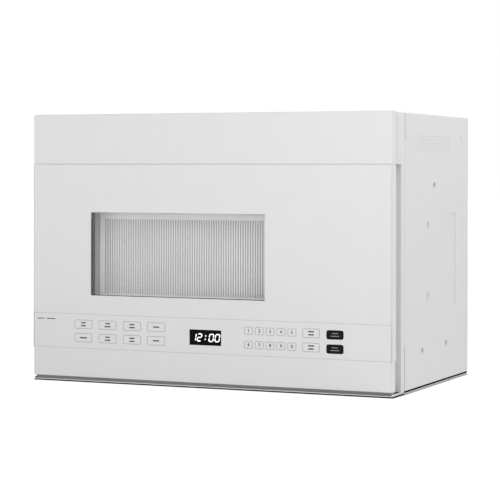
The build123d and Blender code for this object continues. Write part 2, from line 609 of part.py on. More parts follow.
# ---- cavity lamp and thermal cut-out --------------------------------------------------------
LAMP_BRACKET = 28.0
LAMP_BRACKET_REACH = 32.0
LAMP_BULB = 9.0
LAMP_BULB_LENGTH = 13.0
LAMP_BULB_DOME = 4.0
LAMP_SOCKET = 8.0
LAMP_SOCKET_LENGTH = 28.0
bracket_back_x = BAY_LEFT + LAMP_BRACKET_REACH
bracket_depths = (LAMP_PORT_DEPTH - LAMP_BRACKET, LAMP_PORT_DEPTH + LAMP_BRACKET)
bracket_heights = (LAMP_PORT_Z - LAMP_BRACKET / 2, LAMP_PORT_Z + LAMP_BRACKET / 2)

with BuildPart() as cavity_lamp:
    bulb_x = (bracket_back_x - 2 * LAMP_BULB_LENGTH, bracket_back_x - LAMP_BULB_LENGTH)
    crosswise(bulb_x, LAMP_PORT_DEPTH, LAMP_PORT_Z, LAMP_BULB)
    chamfer(cavity_lamp.edges().filter_by(GeomType.CIRCLE).sort_by(Axis.X)[0], length=LAMP_BULB_DOME)
    crosswise((bulb_x[1], bulb_x[1] + LAMP_SOCKET_LENGTH), LAMP_PORT_DEPTH, LAMP_PORT_Z, LAMP_SOCKET)
    block((bracket_back_x - SHEET, bracket_back_x), bracket_depths, bracket_heights)
    for foot, leg in ((bracket_depths[0], bracket_depths[0]), (bracket_depths[1] - LAMP_SOCKET,
                                                              bracket_depths[1] - SHEET)):
        block((BAY_LEFT, BAY_LEFT + SHEET), (foot, foot + LAMP_SOCKET), bracket_heights)
        block((BAY_LEFT, bracket_back_x), (leg, leg + SHEET), bracket_heights)
store(cavity_lamp, "cavity_lamp")

CUTOUT_RADIUS = 8.0
CUTOUT_HEIGHT = 8.0
CUTOUT_INSET = 60.0
CUTOUT_EAR = 14.0
CUTOUT_EAR_WIDTH = 12.0
TAB_SPACING = 8.0
TAB_WIDTH = 6.0
TAB_THICK = 2.0
TAB_HEIGHT = 8.0
cutout_x = CAVITY_LEFT + CUTOUT_INSET
cutout_depth = CAVITY_FRONT + CUTOUT_INSET
cutout_foot = CAVITY_TOP + SHEET
cutout_top = cutout_foot + CUTOUT_HEIGHT

with BuildPart() as thermal_cutout:
    upright(cutout_x, cutout_depth, (cutout_foot, cutout_top), CUTOUT_RADIUS)
    block((cutout_x - CUTOUT_EAR, cutout_x + CUTOUT_EAR),
          (cutout_depth - CUTOUT_EAR_WIDTH / 2, cutout_depth + CUTOUT_EAR_WIDTH / 2),
          (cutout_foot, cutout_foot + SHEET))
    for tab_depth in (cutout_depth - TAB_SPACING / 2, cutout_depth + TAB_SPACING / 2):
        block((cutout_x - TAB_THICK / 2, cutout_x + TAB_THICK / 2),
              (tab_depth - TAB_WIDTH / 2, tab_depth + TAB_WIDTH / 2), (cutout_top, cutout_top + TAB_HEIGHT))
store(thermal_cutout, "thermal_cutout")

# ---- waveguide, its mica cover and the magnetron --------------------------------------------
guide = (WAVEGUIDE_FRONT, WAVEGUIDE_FRONT + WAVEGUIDE_LENGTH)
guide_z = (WAVEGUIDE_FOOT, WAVEGUIDE_FOOT + WAVEGUIDE_HEIGHT)
guide_x = (BAY_LEFT, BAY_LEFT + WAVEGUIDE_WIDTH)
GUIDE_BEVEL = 16.0
MICA = 0.8
MICA_LAP = 6.0

with BuildPart() as waveguide:
    block(guide_x, guide, guide_z)
    chamfer(waveguide.edges().filter_by(Axis.Z).group_by(Axis.X)[-1].sort_by(Axis.Y)[0], length=GUIDE_BEVEL)
    offset(amount=-SHEET, openings=waveguide.faces().sort_by(Axis.X)[0])
    crosswise((guide_x[1] - 2 * SHEET, guide_x[1] + SHEET), port_middle, port_z, ANTENNA_RADIUS + 2,
              mode=Mode.SUBTRACT)
store(waveguide, "waveguide")

with BuildPart() as waveguide_cover:
    block((CAVITY_RIGHT - MICA, CAVITY_RIGHT),
          (port_middle - PORT_LENGTH / 2 - MICA_LAP, port_middle + PORT_LENGTH / 2 + MICA_LAP),
          (port_z - PORT_HEIGHT / 2 - MICA_LAP, port_z + PORT_HEIGHT / 2 + MICA_LAP))
store(waveguide_cover, "waveguide_cover")

ANODE_RADIUS = 18.0
FIN_THICK = 0.8
YOKE_THICK = 1.6
FILTER_BOX = 26.0
ANTENNA_LENGTH = 19.0
FIN_MARGIN = 4.0
magnetron_x = guide_x[1]

with BuildPart() as magnetron:
    half_size = MAGNETRON_SIZE / 2
    body_x = (magnetron_x, magnetron_x + MAGNETRON_LENGTH)
    crosswise((magnetron_x - ANTENNA_LENGTH, magnetron_x), port_middle, port_z, ANTENNA_RADIUS)
    crosswise(body_x, port_middle, port_z, ANODE_RADIUS)
    for plate_x in (body_x[0], body_x[1] - YOKE_THICK):
        block((plate_x, plate_x + YOKE_THICK), (port_middle - half_size, port_middle + half_size),
              (port_z - half_size, port_z + half_size))
    for edge_z in (port_z - half_size, port_z + half_size - YOKE_THICK):
        block(body_x, (port_middle - half_size, port_middle + half_size), (edge_z, edge_z + YOKE_THICK))
    fin_pitch = (MAGNETRON_LENGTH - 2 * YOKE_THICK) / (FIN_COUNT + 1)
    for fin in range(FIN_COUNT):
        fin_x = body_x[0] + YOKE_THICK + (fin + 1) * fin_pitch
        block((fin_x - FIN_THICK / 2, fin_x + FIN_THICK / 2),
              (port_middle - half_size + FIN_MARGIN, port_middle + half_size - FIN_MARGIN),
              (port_z - half_size + YOKE_THICK, port_z + half_size - YOKE_THICK))
    block((body_x[1], body_x[1] + FILTER_BOX), (port_middle - half_size / 2, port_middle + half_size / 2),
          (port_z - half_size / 2, port_z + half_size / 2))
store(magnetron, "magnetron")

# ---- high-voltage transformer and capacitor -------------------------------------------------
CORE_WIDTH = 92.0
CORE_HEIGHT = 72.0
CORE_DEPTH = 62.0
COIL_BULGE = 12.0
COIL_WIDTH = 57.0
COIL_HEIGHT = 21.6
COIL_SPACING = 31.7
COIL_CORNER = 6.0
CORE_FOOT = 2.0
CORE_FOOT_REACH = 6.0
TRANSFORMER_X_GAP = 70.0  # cavity's wall to the core
TRANSFORMER_FAN_GAP = 71.0  # fan's shroud to the core's middle
transformer_x = BAY_LEFT + TRANSFORMER_X_GAP + CORE_WIDTH / 2
transformer_depth = FAN_DEPTH - TRANSFORMER_FAN_GAP
core_z = BAY_FLOOR + CORE_FOOT + CORE_HEIGHT / 2

with BuildPart() as hv_transformer:
    core_front = transformer_depth - CORE_DEPTH / 2
    with BuildSketch(facing(core_front, transformer_x, core_z)):
        Rectangle(CORE_WIDTH, CORE_HEIGHT)
    extrude(amount=-CORE_DEPTH)
    foot_half = CORE_WIDTH / 2 + CORE_FOOT_REACH
    block((transformer_x - foot_half, transformer_x + foot_half), (core_front, core_front + CORE_DEPTH),
          (BAY_FLOOR, BAY_FLOOR + CORE_FOOT))
    for coil_z in (core_z - COIL_SPACING / 2, core_z + COIL_SPACING / 2):
        with BuildSketch(facing(core_front - COIL_BULGE, transformer_x, coil_z)):
            RectangleRounded(COIL_WIDTH, COIL_HEIGHT, COIL_CORNER)
        extrude(amount=-(CORE_DEPTH + 2 * COIL_BULGE))
store(hv_transformer, "hv_transformer")

CAN_LENGTH = 52.0
CAN_WIDTH = 32.0
CAN_HEIGHT = 88.0
CAPACITOR_DEPTH = 130.0
TERMINAL_SPACING = 20.0
TERMINAL_RADIUS = 5.0
TERMINAL_BASE = 6.0
can_top = BAY_FLOOR + CAN_HEIGHT

with BuildPart() as hv_capacitor:
    with BuildSketch(Plane.XY.offset(BAY_FLOOR)):
        with Locations((transformer_x, FRONT + CAPACITOR_DEPTH)):
            SlotOverall(CAN_LENGTH, CAN_WIDTH)
    extrude(amount=CAN_HEIGHT)
    for terminal in (transformer_x - TERMINAL_SPACING / 2, transformer_x + TERMINAL_SPACING / 2):
        upright(terminal, CAPACITOR_DEPTH, (can_top, can_top + TERMINAL_BASE), TERMINAL_RADIUS)
        block((terminal - TAB_WIDTH / 2, terminal + TAB_WIDTH / 2),
              (CAPACITOR_DEPTH - SHEET / 2, CAPACITOR_DEPTH + SHEET / 2),
              (can_top + TERMINAL_BASE, can_top + TERMINAL_BASE + TAB_HEIGHT))
store(hv_capacitor, "hv_capacitor")

# ---- power board on stand-offs from the right side panel ------------------------------------
BOARD_SET = 14.0
BOARD_FRONT = 75.0
BOARD_FOOT = 178.0
BOARD_LENGTH = 110.0
BOARD_HEIGHT = 122.0
POST_INSET = 7.0
STANDOFF_RADIUS = 3.0
CHOKE_COIL = (28.4, 36.0, 40.0)
RELAY = (16.4, 18.0, 25.0)
RELAY_COUNT = 3
RELAY_PITCH = 26.0
board_x = INSIDE - BOARD_SET
parts_x = board_x - BOARD_THICK
board_middle = (BOARD_FRONT + BOARD_LENGTH / 2, BOARD_FOOT + BOARD_HEIGHT / 2)
relay_depth = BOARD_FRONT + POST_INSET + RELAY[1] / 2
relay_foot = BOARD_FOOT + RELAY_PITCH

with BuildPart() as power_board:
    block((parts_x, board_x), (BOARD_FRONT, BOARD_FRONT + BOARD_LENGTH),
          (BOARD_FOOT, BOARD_FOOT + BOARD_HEIGHT))
    with BuildSketch(across(board_x, board_middle[0], board_middle[1])):
        with GridLocations(BOARD_LENGTH - 2 * POST_INSET, BOARD_HEIGHT - 2 * POST_INSET, 2, 2):
            Circle(STANDOFF_RADIUS)
    extrude(amount=BOARD_SET)
    coil_foot = board_middle[1] + POST_INSET
    block((parts_x - CHOKE_COIL[0], parts_x), (relay_depth, relay_depth + CHOKE_COIL[1]),
          (coil_foot, coil_foot + CHOKE_COIL[2]))
    for relay in range(RELAY_COUNT):
        front = relay_depth + RELAY_PITCH * relay
        block((parts_x - RELAY[0], parts_x), (front, front + RELAY[1]), (relay_foot, relay_foot + RELAY[2]))
store(power_board, "power_board")

# ---- cooling fan: shroud, shaded-pole motor and rotor ---------------------------------------
SHROUD_RISE = 15.0  # cavity's roof to the shroud's top
SHROUD_THICK = 1.5
SHROUD_COLLAR = 10.0
FAN_TIP_GAP = 3.0
STATOR_SIZE = 42.0
STATOR_THICK = 18.0
FAN_HUB = 13.0
FAN_HUB_LENGTH = 16.0
FAN_HUB_GAP = 4.0
BEARING_RADIUS = 11.0
BEARING_LENGTH = 3.0
hole_radius = FAN_RADIUS + FAN_TIP_GAP
shroud_back = FAN_DEPTH + SHROUD_THICK
hub_front = shroud_back + FAN_HUB_GAP
stator_front = hub_front + FAN_HUB_LENGTH + 2 * FAN_HUB_GAP
stator_back = stator_front + STATOR_THICK

with BuildPart() as cooling_fan_shroud:
    block((BAY_LEFT, INSIDE), (FAN_DEPTH, shroud_back), (BAY_FLOOR, CAVITY_TOP + SHROUD_RISE))
    block((BAY_LEFT, INSIDE), (shroud_back, shroud_back + SHROUD_COLLAR),
          (BAY_FLOOR, BAY_FLOOR + SHROUD_THICK))
    rearward(FAN_X, (shroud_back, shroud_back + SHROUD_COLLAR), FAN_HEIGHT, hole_radius + SHROUD_THICK)
    rearward(FAN_X, (FAN_DEPTH - 1, shroud_back + SHROUD_COLLAR + 1), FAN_HEIGHT, hole_radius,
             mode=Mode.SUBTRACT)
store(cooling_fan_shroud, "cooling_fan_shroud")

STRAP_WIDTH = 18.0
STRAP_THICK = 1.5
STRAP_MARGIN = 6.0
strap_half = hole_radius + STRAP_MARGIN

with BuildPart() as cooling_fan_motor:
    block((FAN_X - STATOR_SIZE / 2, FAN_X + STATOR_SIZE / 2), (stator_front, stator_back),
          (FAN_HEIGHT - STATOR_SIZE / 2, FAN_HEIGHT + STATOR_SIZE / 2))
    rearward(FAN_X, (stator_front - BEARING_LENGTH, stator_back), FAN_HEIGHT, BEARING_RADIUS)
    block((FAN_X - STRAP_WIDTH / 2, FAN_X + STRAP_WIDTH / 2), (stator_back, stator_back + STRAP_THICK),
          (FAN_HEIGHT - strap_half, FAN_HEIGHT + strap_half))
    for leg in (FAN_HEIGHT - strap_half, FAN_HEIGHT + strap_half - STRAP_THICK):
        block((FAN_X - STRAP_WIDTH / 2, FAN_X + STRAP_WIDTH / 2), (shroud_back, stator_back + STRAP_THICK),
              (leg, leg + STRAP_THICK))
    rearward(FAN_X, (stator_front - FAN_HUB_GAP, stator_back), FAN_HEIGHT, FAN_SHAFT + RUNNING,
             mode=Mode.SUBTRACT)
store(cooling_fan_motor, "cooling_fan_motor")

FAN_PITCH = 28.0
BLADE_WIDTH = 30.0
FAN_BLADE_THICK = 1.2

with BuildPart() as cooling_fan_rotor:
    rearward(FAN_X, (hub_front, hub_front + FAN_HUB_LENGTH), FAN_HEIGHT, FAN_HUB)
    rearward(FAN_X, (hub_front + FAN_HUB_LENGTH, stator_back - 2), FAN_HEIGHT, FAN_SHAFT)
    hub_middle = FRONT + hub_front + FAN_HUB_LENGTH / 2
    for blade in range(FAN_BLADES):
        turn = Location((FAN_X, hub_middle, FAN_HEIGHT), (0, 360 / FAN_BLADES * blade, 0))
        with Locations(turn):
            with Locations(Location(((FAN_HUB + FAN_RADIUS) / 2 - 1, 0, 0), (FAN_PITCH, 0, 0))):
                Box(FAN_RADIUS - FAN_HUB, FAN_BLADE_THICK, BLADE_WIDTH)
store(cooling_fan_rotor, "cooling_fan_rotor")

# ---- vent blower: two scrolls, a motor between them and two sirocco wheels on one shaft ------
BELL_DEPTH = 4.0


def volute(inset, top):
    """Closed scroll outline in the blower's side plane, a wall's thickness out from its inside.

    Three quarter arcs grow by one step each, on centres at the corners of a small square,
    so that they meet tangentially; the last runs straight up into the outlet.
    """
    step = VOLUTE_STEP
    first = VOLUTE_RADIUS + inset
    lead = math.degrees(math.asin(inset / first))
    mouth_left = -step / 2 - inset
    mouth_right = step / 2 + first + 2 * step
    start = (mouth_left, -step / 2 + first * math.cos(math.radians(lead)))
    CenterArc((-step / 2, -step / 2), first, 90 + lead, 90 - lead)
    CenterArc((step / 2, -step / 2), first + step, 180, 90)
    CenterArc((step / 2, step / 2), first + 2 * step, 270, 90)
    Polyline((mouth_right, step / 2), (mouth_right, top), (mouth_left, top), start)


def blower_scroll(side):
    inner_x = side * SCROLL_INNER
    outer_x = side * SCROLL_OUTER
    low, high = span(inner_x, outer_x)
    outlet_top = CEILING - BLOWER_Z
    with BuildPart() as scroll:
        with BuildSketch(across(low, BLOWER_DEPTH, BLOWER_Z)):
            with BuildLine():
                volute(SCROLL_WALL, outlet_top)
            make_face()
        extrude(amount=high - low)
        with BuildSketch(across(low + SCROLL_WALL, BLOWER_DEPTH, BLOWER_Z)):
            with BuildLine():
                volute(0, outlet_top)
            make_face()
        extrude(amount=SCROLL_WIDTH, mode=Mode.SUBTRACT)
        bell = span(outer_x, outer_x + side * BELL_DEPTH)
        crosswise(bell, BLOWER_DEPTH, BLOWER_Z, SCROLL_INLET + SCROLL_WALL)
        inlet = span(outer_x - side * 2 * SCROLL_WALL, outer_x + side * 2 * BELL_DEPTH)
        crosswise(inlet, BLOWER_DEPTH, BLOWER_Z, SCROLL_INLET, mode=Mode.SUBTRACT)
        shaft_side = span(inner_x - side * SCROLL_WALL, inner_x + side * 2 * SCROLL_WALL)
        crosswise(shaft_side, BLOWER_DEPTH, BLOWER_Z, SHAFT_HOLE, mode=Mode.SUBTRACT)
    return scroll


store(blower_scroll(-1), "blower_scroll_left")
store(blower_scroll(1), "blower_scroll_right")

CRADLE_HALF = 24.0
CRADLE_THICK = 3.0
MOTOR_CHAMFER = 6.0
MOTOR_CAP = 6.0
MOTOR_CAP_RADIUS = 10.0
CRADLE_DEPTH = 28.0
SHAFT_END = 2.0
wheel_inner = SCROLL_INNER + SCROLL_WALL + (SCROLL_WIDTH - WHEEL_WIDTH) / 2
shaft_half = wheel_inner + WHEEL_WIDTH - SHAFT_END
cradle = (BLOWER_DEPTH - CRADLE_DEPTH / 2, BLOWER_DEPTH + CRADLE_DEPTH / 2)

with BuildPart() as blower_motor:
    crosswise((-MOTOR_LENGTH / 2, MOTOR_LENGTH / 2), BLOWER_DEPTH, BLOWER_Z, MOTOR_RADIUS)
    chamfer(blower_motor.edges().filter_by(GeomType.CIRCLE), length=MOTOR_CHAMFER)
    for end in (-1, 1):
        face_x = end * MOTOR_LENGTH / 2
        crosswise(span(face_x, face_x + end * MOTOR_CAP), BLOWER_DEPTH, BLOWER_Z, MOTOR_CAP_RADIUS)
        strap_x = span(end * CRADLE_HALF, end * (CRADLE_HALF + CRADLE_THICK))
        block(strap_x, cradle, (BLOWER_Z + MOTOR_RADIUS - MOTOR_CAP, CEILING))
    block((-CRADLE_HALF, CRADLE_HALF), cradle, (CEILING - CRADLE_THICK, CEILING))
    crosswise((-MOTOR_SPACE / 2, MOTOR_SPACE / 2), BLOWER_DEPTH, BLOWER_Z, BLOWER_SHAFT + RUNNING,
              mode=Mode.SUBTRACT)
store(blower_motor, "blower_motor")

with BuildPart() as blower_shaft:
    crosswise((-shaft_half, shaft_half), BLOWER_DEPTH, BLOWER_Z, BLOWER_SHAFT)
store(blower_shaft, "blower_shaft")

HUB_RADIUS = 9.0
HUB_LENGTH = 24.0
BLADE_HOOK = 14.0  # forward lean of each blade's tip round the wheel, in degrees
BLADE_BEND = 1.3  # radius of the blade's bend, in blade heights


def on_wheel(radius, turn):
    """Point of the wheel's side view, by its distance from the axis and its angle in radians."""
    return (radius * math.cos(turn), radius * math.sin(turn))


# one forward-curved blade: two arcs a blade's thickness apart, from the eye to the rim
lean = math.radians(BLADE_HOOK)
blade_bend = BLADE_BEND * (WHEEL_RADIUS - WHEEL_EYE)
blade_tip = WHEEL_RADIUS - WHEEL_DISC / 4

with BuildSketch() as wheel_blade:
    with BuildLine():
        front = RadiusArc(on_wheel(WHEEL_EYE, 0), on_wheel(blade_tip, lean), -blade_bend)
        back = RadiusArc(on_wheel(WHEEL_EYE, BLADE_THICK / WHEEL_EYE),
                         on_wheel(blade_tip, lean + BLADE_THICK / WHEEL_RADIUS), -blade_bend)
        Line(front @ 0, back @ 0)
        Line(front @ 1, back @ 1)
    make_face()


def blower_wheel(side):
    inner = side * wheel_inner
    outer = side * (wheel_inner + WHEEL_WIDTH)
    low, high = span(inner, outer)
    with BuildPart() as wheel:
        crosswise(span(inner, inner + side * WHEEL_DISC), BLOWER_DEPTH, BLOWER_Z, WHEEL_RADIUS)
        crosswise(span(inner, inner + side * HUB_LENGTH), BLOWER_DEPTH, BLOWER_Z, HUB_RADIUS)
        with BuildSketch(across(low, BLOWER_DEPTH, BLOWER_Z)):
            with PolarLocations(0, BLADE_COUNT):
                add(wheel_blade.sketch)
        extrude(amount=high - low)
        ring_low, ring_high = span(outer - side * WHEEL_DISC, outer)
        with BuildSketch(across(ring_low, BLOWER_DEPTH, BLOWER_Z)):
            Circle(WHEEL_RADIUS)
            Circle(WHEEL_EYE, mode=Mode.SUBTRACT)
        extrude(amount=ring_high - ring_low)
        crosswise((low, high), BLOWER_DEPTH, BLOWER_Z, BLOWER_SHAFT, mode=Mode.SUBTRACT)
    return wheel


store(blower_wheel(-1), "blower_wheel_left")
store(blower_wheel(1), "blower_wheel_right")

# ---- turntable: motor, coupler, roller ring, rollers and glass tray --------------------------
STEM_DEPTH = 14.0
MOTOR_EAR = 10.0
MOTOR_EAR_WIDTH = 12.0
LUG_COUNT = 3
LUG_WIDTH = 4.0
HUB_GAP = 1.0

with BuildPart() as turntable_motor:
    motor_top = CAVITY_FLOOR - SHEET
    upright(CAVITY_X, CAVITY_MIDDLE, (motor_top - TURN_MOTOR_HEIGHT, motor_top), TURN_MOTOR_RADIUS)
    ear_half = TURN_MOTOR_RADIUS + MOTOR_EAR
    block((CAVITY_X - ear_half, CAVITY_X + ear_half),
          (CAVITY_MIDDLE - MOTOR_EAR_WIDTH / 2, CAVITY_MIDDLE + MOTOR_EAR_WIDTH / 2),
          (motor_top - SHEET, motor_top))
    upright(CAVITY_X, CAVITY_MIDDLE, (motor_top - STEM_DEPTH - 1, motor_top), COUPLER_STEM + RUNNING,
            mode=Mode.SUBTRACT)
store(turntable_motor, "turntable_motor")

hub_low = CAVITY_FLOOR + HUB_GAP
hub_high = hub_low + COUPLER_HEIGHT

with BuildPart() as drive_coupler:
    upright(CAVITY_X, CAVITY_MIDDLE, (CAVITY_FLOOR - SHEET - STEM_DEPTH, hub_low), COUPLER_STEM)
    upright(CAVITY_X, CAVITY_MIDDLE, (hub_low, hub_high), COUPLER_HUB - HUB_GAP)
    with BuildSketch(Plane((CAVITY_X, FRONT + CAVITY_MIDDLE, hub_low))):
        with PolarLocations(COUPLER_LOBE / 2, LUG_COUNT):
            Rectangle(COUPLER_LOBE, 2 * LUG_WIDTH)
    extrude(amount=COUPLER_HEIGHT)
store(drive_coupler, "drive_coupler")

ring_inner = ROLLER_CIRCLE - ROLLER_WIDTH / 2 - RING_WIDTH - HUB_GAP
AXLE_CAP = 1.5

with BuildPart() as roller_ring:
    with BuildSketch(Plane((CAVITY_X, FRONT + CAVITY_MIDDLE, ROLLER_Z - RING_HEIGHT / 2))):
        Circle(ring_inner + RING_WIDTH)
        Circle(ring_inner, mode=Mode.SUBTRACT)
    extrude(amount=RING_HEIGHT)
    axle_end = ROLLER_CIRCLE + ROLLER_WIDTH / 2 + FIT
    with Locations((CAVITY_X, FRONT + CAVITY_MIDDLE, ROLLER_Z)):
        with PolarLocations((ring_inner + axle_end) / 2, ROLLER_COUNT):
            Cylinder(ROLLER_AXLE, axle_end - ring_inner, rotation=(0, 90, 0))
        with PolarLocations(axle_end + AXLE_CAP / 2, ROLLER_COUNT):
            Cylinder(ROLLER_AXLE + AXLE_CAP, AXLE_CAP, rotation=(0, 90, 0))
store(roller_ring, "roller_ring")

for number in range(ROLLER_COUNT):
    with BuildPart() as ring_roller:
        with Locations((CAVITY_X, FRONT + CAVITY_MIDDLE, ROLLER_Z)):
            with PolarLocations(ROLLER_CIRCLE, 1, start_angle=360 / ROLLER_COUNT * number):
                Cylinder(ROLLER_RADIUS, ROLLER_WIDTH, rotation=(0, 90, 0))
                Cylinder(ROLLER_AXLE + RUNNING, ROLLER_WIDTH, rotation=(0, 90, 0), mode=Mode.SUBTRACT)
    store(ring_roller, f"ring_roller_{number + 1}")

lug_inner = COUPLER_HUB - HUB_GAP + FIT
LUG_DROP = 6.0
TRAY_LIP = 1.5
tray_curve = TRAY_RIM - TRAY_THICK / 2

with BuildPart() as glass_tray:
    with BuildSketch(facing(CAVITY_MIDDLE, CAVITY_X, TRAY_UNDERSIDE)):
        with BuildLine():
            underside = Line((0, 0), (TRAY_RADIUS - tray_curve, 0))
            outer = RadiusArc(underside @ 1, (TRAY_RADIUS, TRAY_RIM), -1.1 * TRAY_RIM)
            rim = Line(outer @ 1, (TRAY_RADIUS - TRAY_THICK + TRAY_LIP, TRAY_RIM))
            inner = RadiusArc(rim @ 1, (TRAY_RADIUS - tray_curve - TRAY_LIP, TRAY_THICK), 0.9 * TRAY_RIM)
            Polyline(inner @ 1, (0, TRAY_THICK), (0, 0))
        make_face()
    revolve(axis=Axis((CAVITY_X, FRONT + CAVITY_MIDDLE, 0), (0, 0, 1)))
    with BuildSketch(Plane((CAVITY_X, FRONT + CAVITY_MIDDLE, TRAY_UNDERSIDE))):
        with PolarLocations((lug_inner + COUPLER_LOBE) / 2, LUG_COUNT, start_angle=180 / LUG_COUNT):
            Rectangle(COUPLER_LOBE - lug_inner, LUG_WIDTH)
    extrude(amount=-LUG_DROP)
store(glass_tray, "glass_tray")

# ---- hinges: steel arms with pins on the body ------------------------------------------------

def body_hinge(arm_z, direction):
    """Arm, pin and tab of one body-side hinge; the pin and tab point up or down by direction."""
    tab_x = (PIVOT_X - arm_half, PIVOT_X - arm_half + HINGE_TAB_WIDTH)
    pin_start = arm_z if direction < 0 else arm_z + HINGE_ARM_THICK
    with BuildPart() as hinge:
        block((PIVOT_X - arm_half, PIVOT_X + arm_half), (PIVOT_DEPTH, CAVITY_FRONT + HINGE_TAB_THICK),
              (arm_z, arm_z + HINGE_ARM_THICK))
        upright(PIVOT_X, PIVOT_DEPTH, (arm_z, arm_z + HINGE_ARM_THICK), arm_half)
        upright(PIVOT_X, PIVOT_DEPTH, span(pin_start, pin_start + direction * HINGE_PIN_LENGTH), HINGE_PIN)
        tab_foot = arm_z + HINGE_ARM_THICK if direction < 0 else arm_z
        block(tab_x, (CAVITY_FRONT, CAVITY_FRONT + HINGE_TAB_THICK),
              span(tab_foot, tab_foot + direction * HINGE_TAB_HEIGHT))
    return hinge


store(body_hinge(ARM_UPPER, -1), "hinge_upper")
store(body_hinge(ARM_LOWER, 1), "hinge_lower")

# ---- door: outer moulding --------------------------------------------------------------------
RIM_BACK = 2.5
RIB_THICK = 1.6
RIB_DEPTH = 8.0
TRIM_RIBS_X = (-HALF + 53.0, -HALF + 133.0, HALF - 113.0, HALF - 63.0)
DOOR_EDGE = 1.5
TOP_LEDGE = 0.8  # depth of the groove between the fascia and the door
display_low = STRIP_BOTTOM + DISPLAY_RISE
HINGE_NOTCH = 6.0

with BuildPart() as door_frame:
    block((-HALF, HALF), (0, DOOR_SKIN), (STRIP_BOTTOM, DOOR_TOP))
    fillet(door_frame.faces().sort_by(Axis.Y)[0].edges().filter_by(Axis.Z), radius=DOOR_EDGE)
    block((-HALF + TRIM_INSET, HALF - TRIM_INSET), (MOULD, DOOR_SKIN), (DOOR_BOTTOM, STRIP_BOTTOM))
    block((-HALF + MOULD, HALF - MOULD), (MOULD, DOOR_SKIN + 1), (STRIP_BOTTOM + MOULD, DOOR_TOP - MOULD),
          mode=Mode.SUBTRACT)
    block((-HALF + TRIM_INSET + MOULD, HALF - TRIM_INSET - MOULD), (2 * MOULD, DOOR_SKIN + 1),
          (DOOR_BOTTOM + MOULD, STRIP_BOTTOM + 2 * MOULD), mode=Mode.SUBTRACT)
    # ledge that closes the gap under the fascia
    ledge_right = HALF - TOP_LEDGE
    ledge_z = (DOOR_TOP, DOOR_TOP + DOOR_GAP - FIT)
    block((-HALF + TOP_LEDGE, ledge_right), (TOP_LEDGE, TOP_LEDGE + MOULD), ledge_z)
    block((ledge_right - MOULD, ledge_right), (TOP_LEDGE, DOOR_SKIN), ledge_z)
    # closed back of the rim that the hand pulls
    block((COVER_RIGHT - MOULD, HALF - TRIM_INSET - MOULD / 2), (DOOR_SKIN - RIM_BACK, DOOR_SKIN),
          (DOOR_BOTTOM + MOULD / 2, DOOR_TOP - MOULD / 2))
    block((COVER_RIGHT - MOULD, COVER_RIGHT), (MOULD / 2, DOOR_SKIN),
          (STRIP_BOTTOM + MOULD / 2, DOOR_TOP - MOULD / 2))
    with BuildSketch(facing(0, CAVITY_X, CAVITY_Z)):
        Rectangle(WINDOW_WIDTH, WINDOW_HEIGHT)
    extrude(amount=-MOULD, mode=Mode.SUBTRACT)
    block((-HALF + INLAY_MARGIN, HALF - INLAY_MARGIN), (0, INLAY), (STRIP_BOTTOM, STRIP_TOP),
          mode=Mode.SUBTRACT)
    block((-DISPLAY_WIDTH / 2, DISPLAY_WIDTH / 2), (0, MOULD), (display_low, display_low + DISPLAY_HEIGHT),
          mode=Mode.SUBTRACT)
    for rib_x in TRIM_RIBS_X:
        block((rib_x, rib_x + RIB_THICK), (MOULD / 2 + MOULD, MOULD + RIB_DEPTH),
              (DOOR_BOTTOM + MOULD / 2, STRIP_BOTTOM))
    for arm in (ARM_UPPER, ARM_LOWER):
        block((-HALF - 1, -HALF + TRIM_INSET + MOULD + 1), (DOOR_SKIN - HINGE_NOTCH, DOOR_SKIN + 1),
              (arm - 2, arm + HINGE_ARM_THICK + 2), mode=Mode.SUBTRACT)
store(door_frame, "door_frame")

# ---- door: window glass and its dark gasket --------------------------------------------------
with BuildPart() as window_glass:
    with BuildSketch(facing(FIT, CAVITY_X, CAVITY_Z)):
        Rectangle(WINDOW_WIDTH - 2 * FIT, WINDOW_HEIGHT - 2 * FIT)
    extrude(amount=-(WINDOW_THICK - FIT))
    with BuildSketch(facing(MOULD, CAVITY_X, CAVITY_Z)):
        Rectangle(WINDOW_WIDTH + 2 * WINDOW_FLANGE, WINDOW_HEIGHT + 2 * WINDOW_FLANGE)
    extrude(amount=-(WINDOW_THICK - MOULD))
store(window_glass, "window_glass")

with BuildPart() as window_gasket:
    with BuildSketch(facing(WINDOW_THICK, CAVITY_X, CAVITY_Z)):
        Rectangle(WINDOW_WIDTH + 2 * WINDOW_FLANGE, WINDOW_HEIGHT + 2 * WINDOW_FLANGE)
        Rectangle(WINDOW_WIDTH, WINDOW_HEIGHT, mode=Mode.SUBTRACT)
    extrude(amount=-(DOOR_SKIN - WINDOW_THICK))
store(window_gasket, "window_gasket")

# ---- door: choke panel with the perforated screen --------------------------------------------
choke_x = (CAVITY_LEFT - CHOKE_BORDER, CAVITY_RIGHT + CHOKE_BORDER)
choke_z = (CAVITY_FLOOR - CHOKE_BORDER, CAVITY_TOP + CHOKE_BORDER)
choke_width = choke_x[1] - choke_x[0]
choke_height = choke_z[1] - choke_z[0]
mesh_width = WINDOW_WIDTH - 2 * MESH_MARGIN_SIDE
mesh_height = WINDOW_HEIGHT - MESH_MARGIN_TOP - MESH_MARGIN_BOTTOM
mesh_z = CAVITY_Z + (MESH_MARGIN_BOTTOM - MESH_MARGIN_TOP) / 2

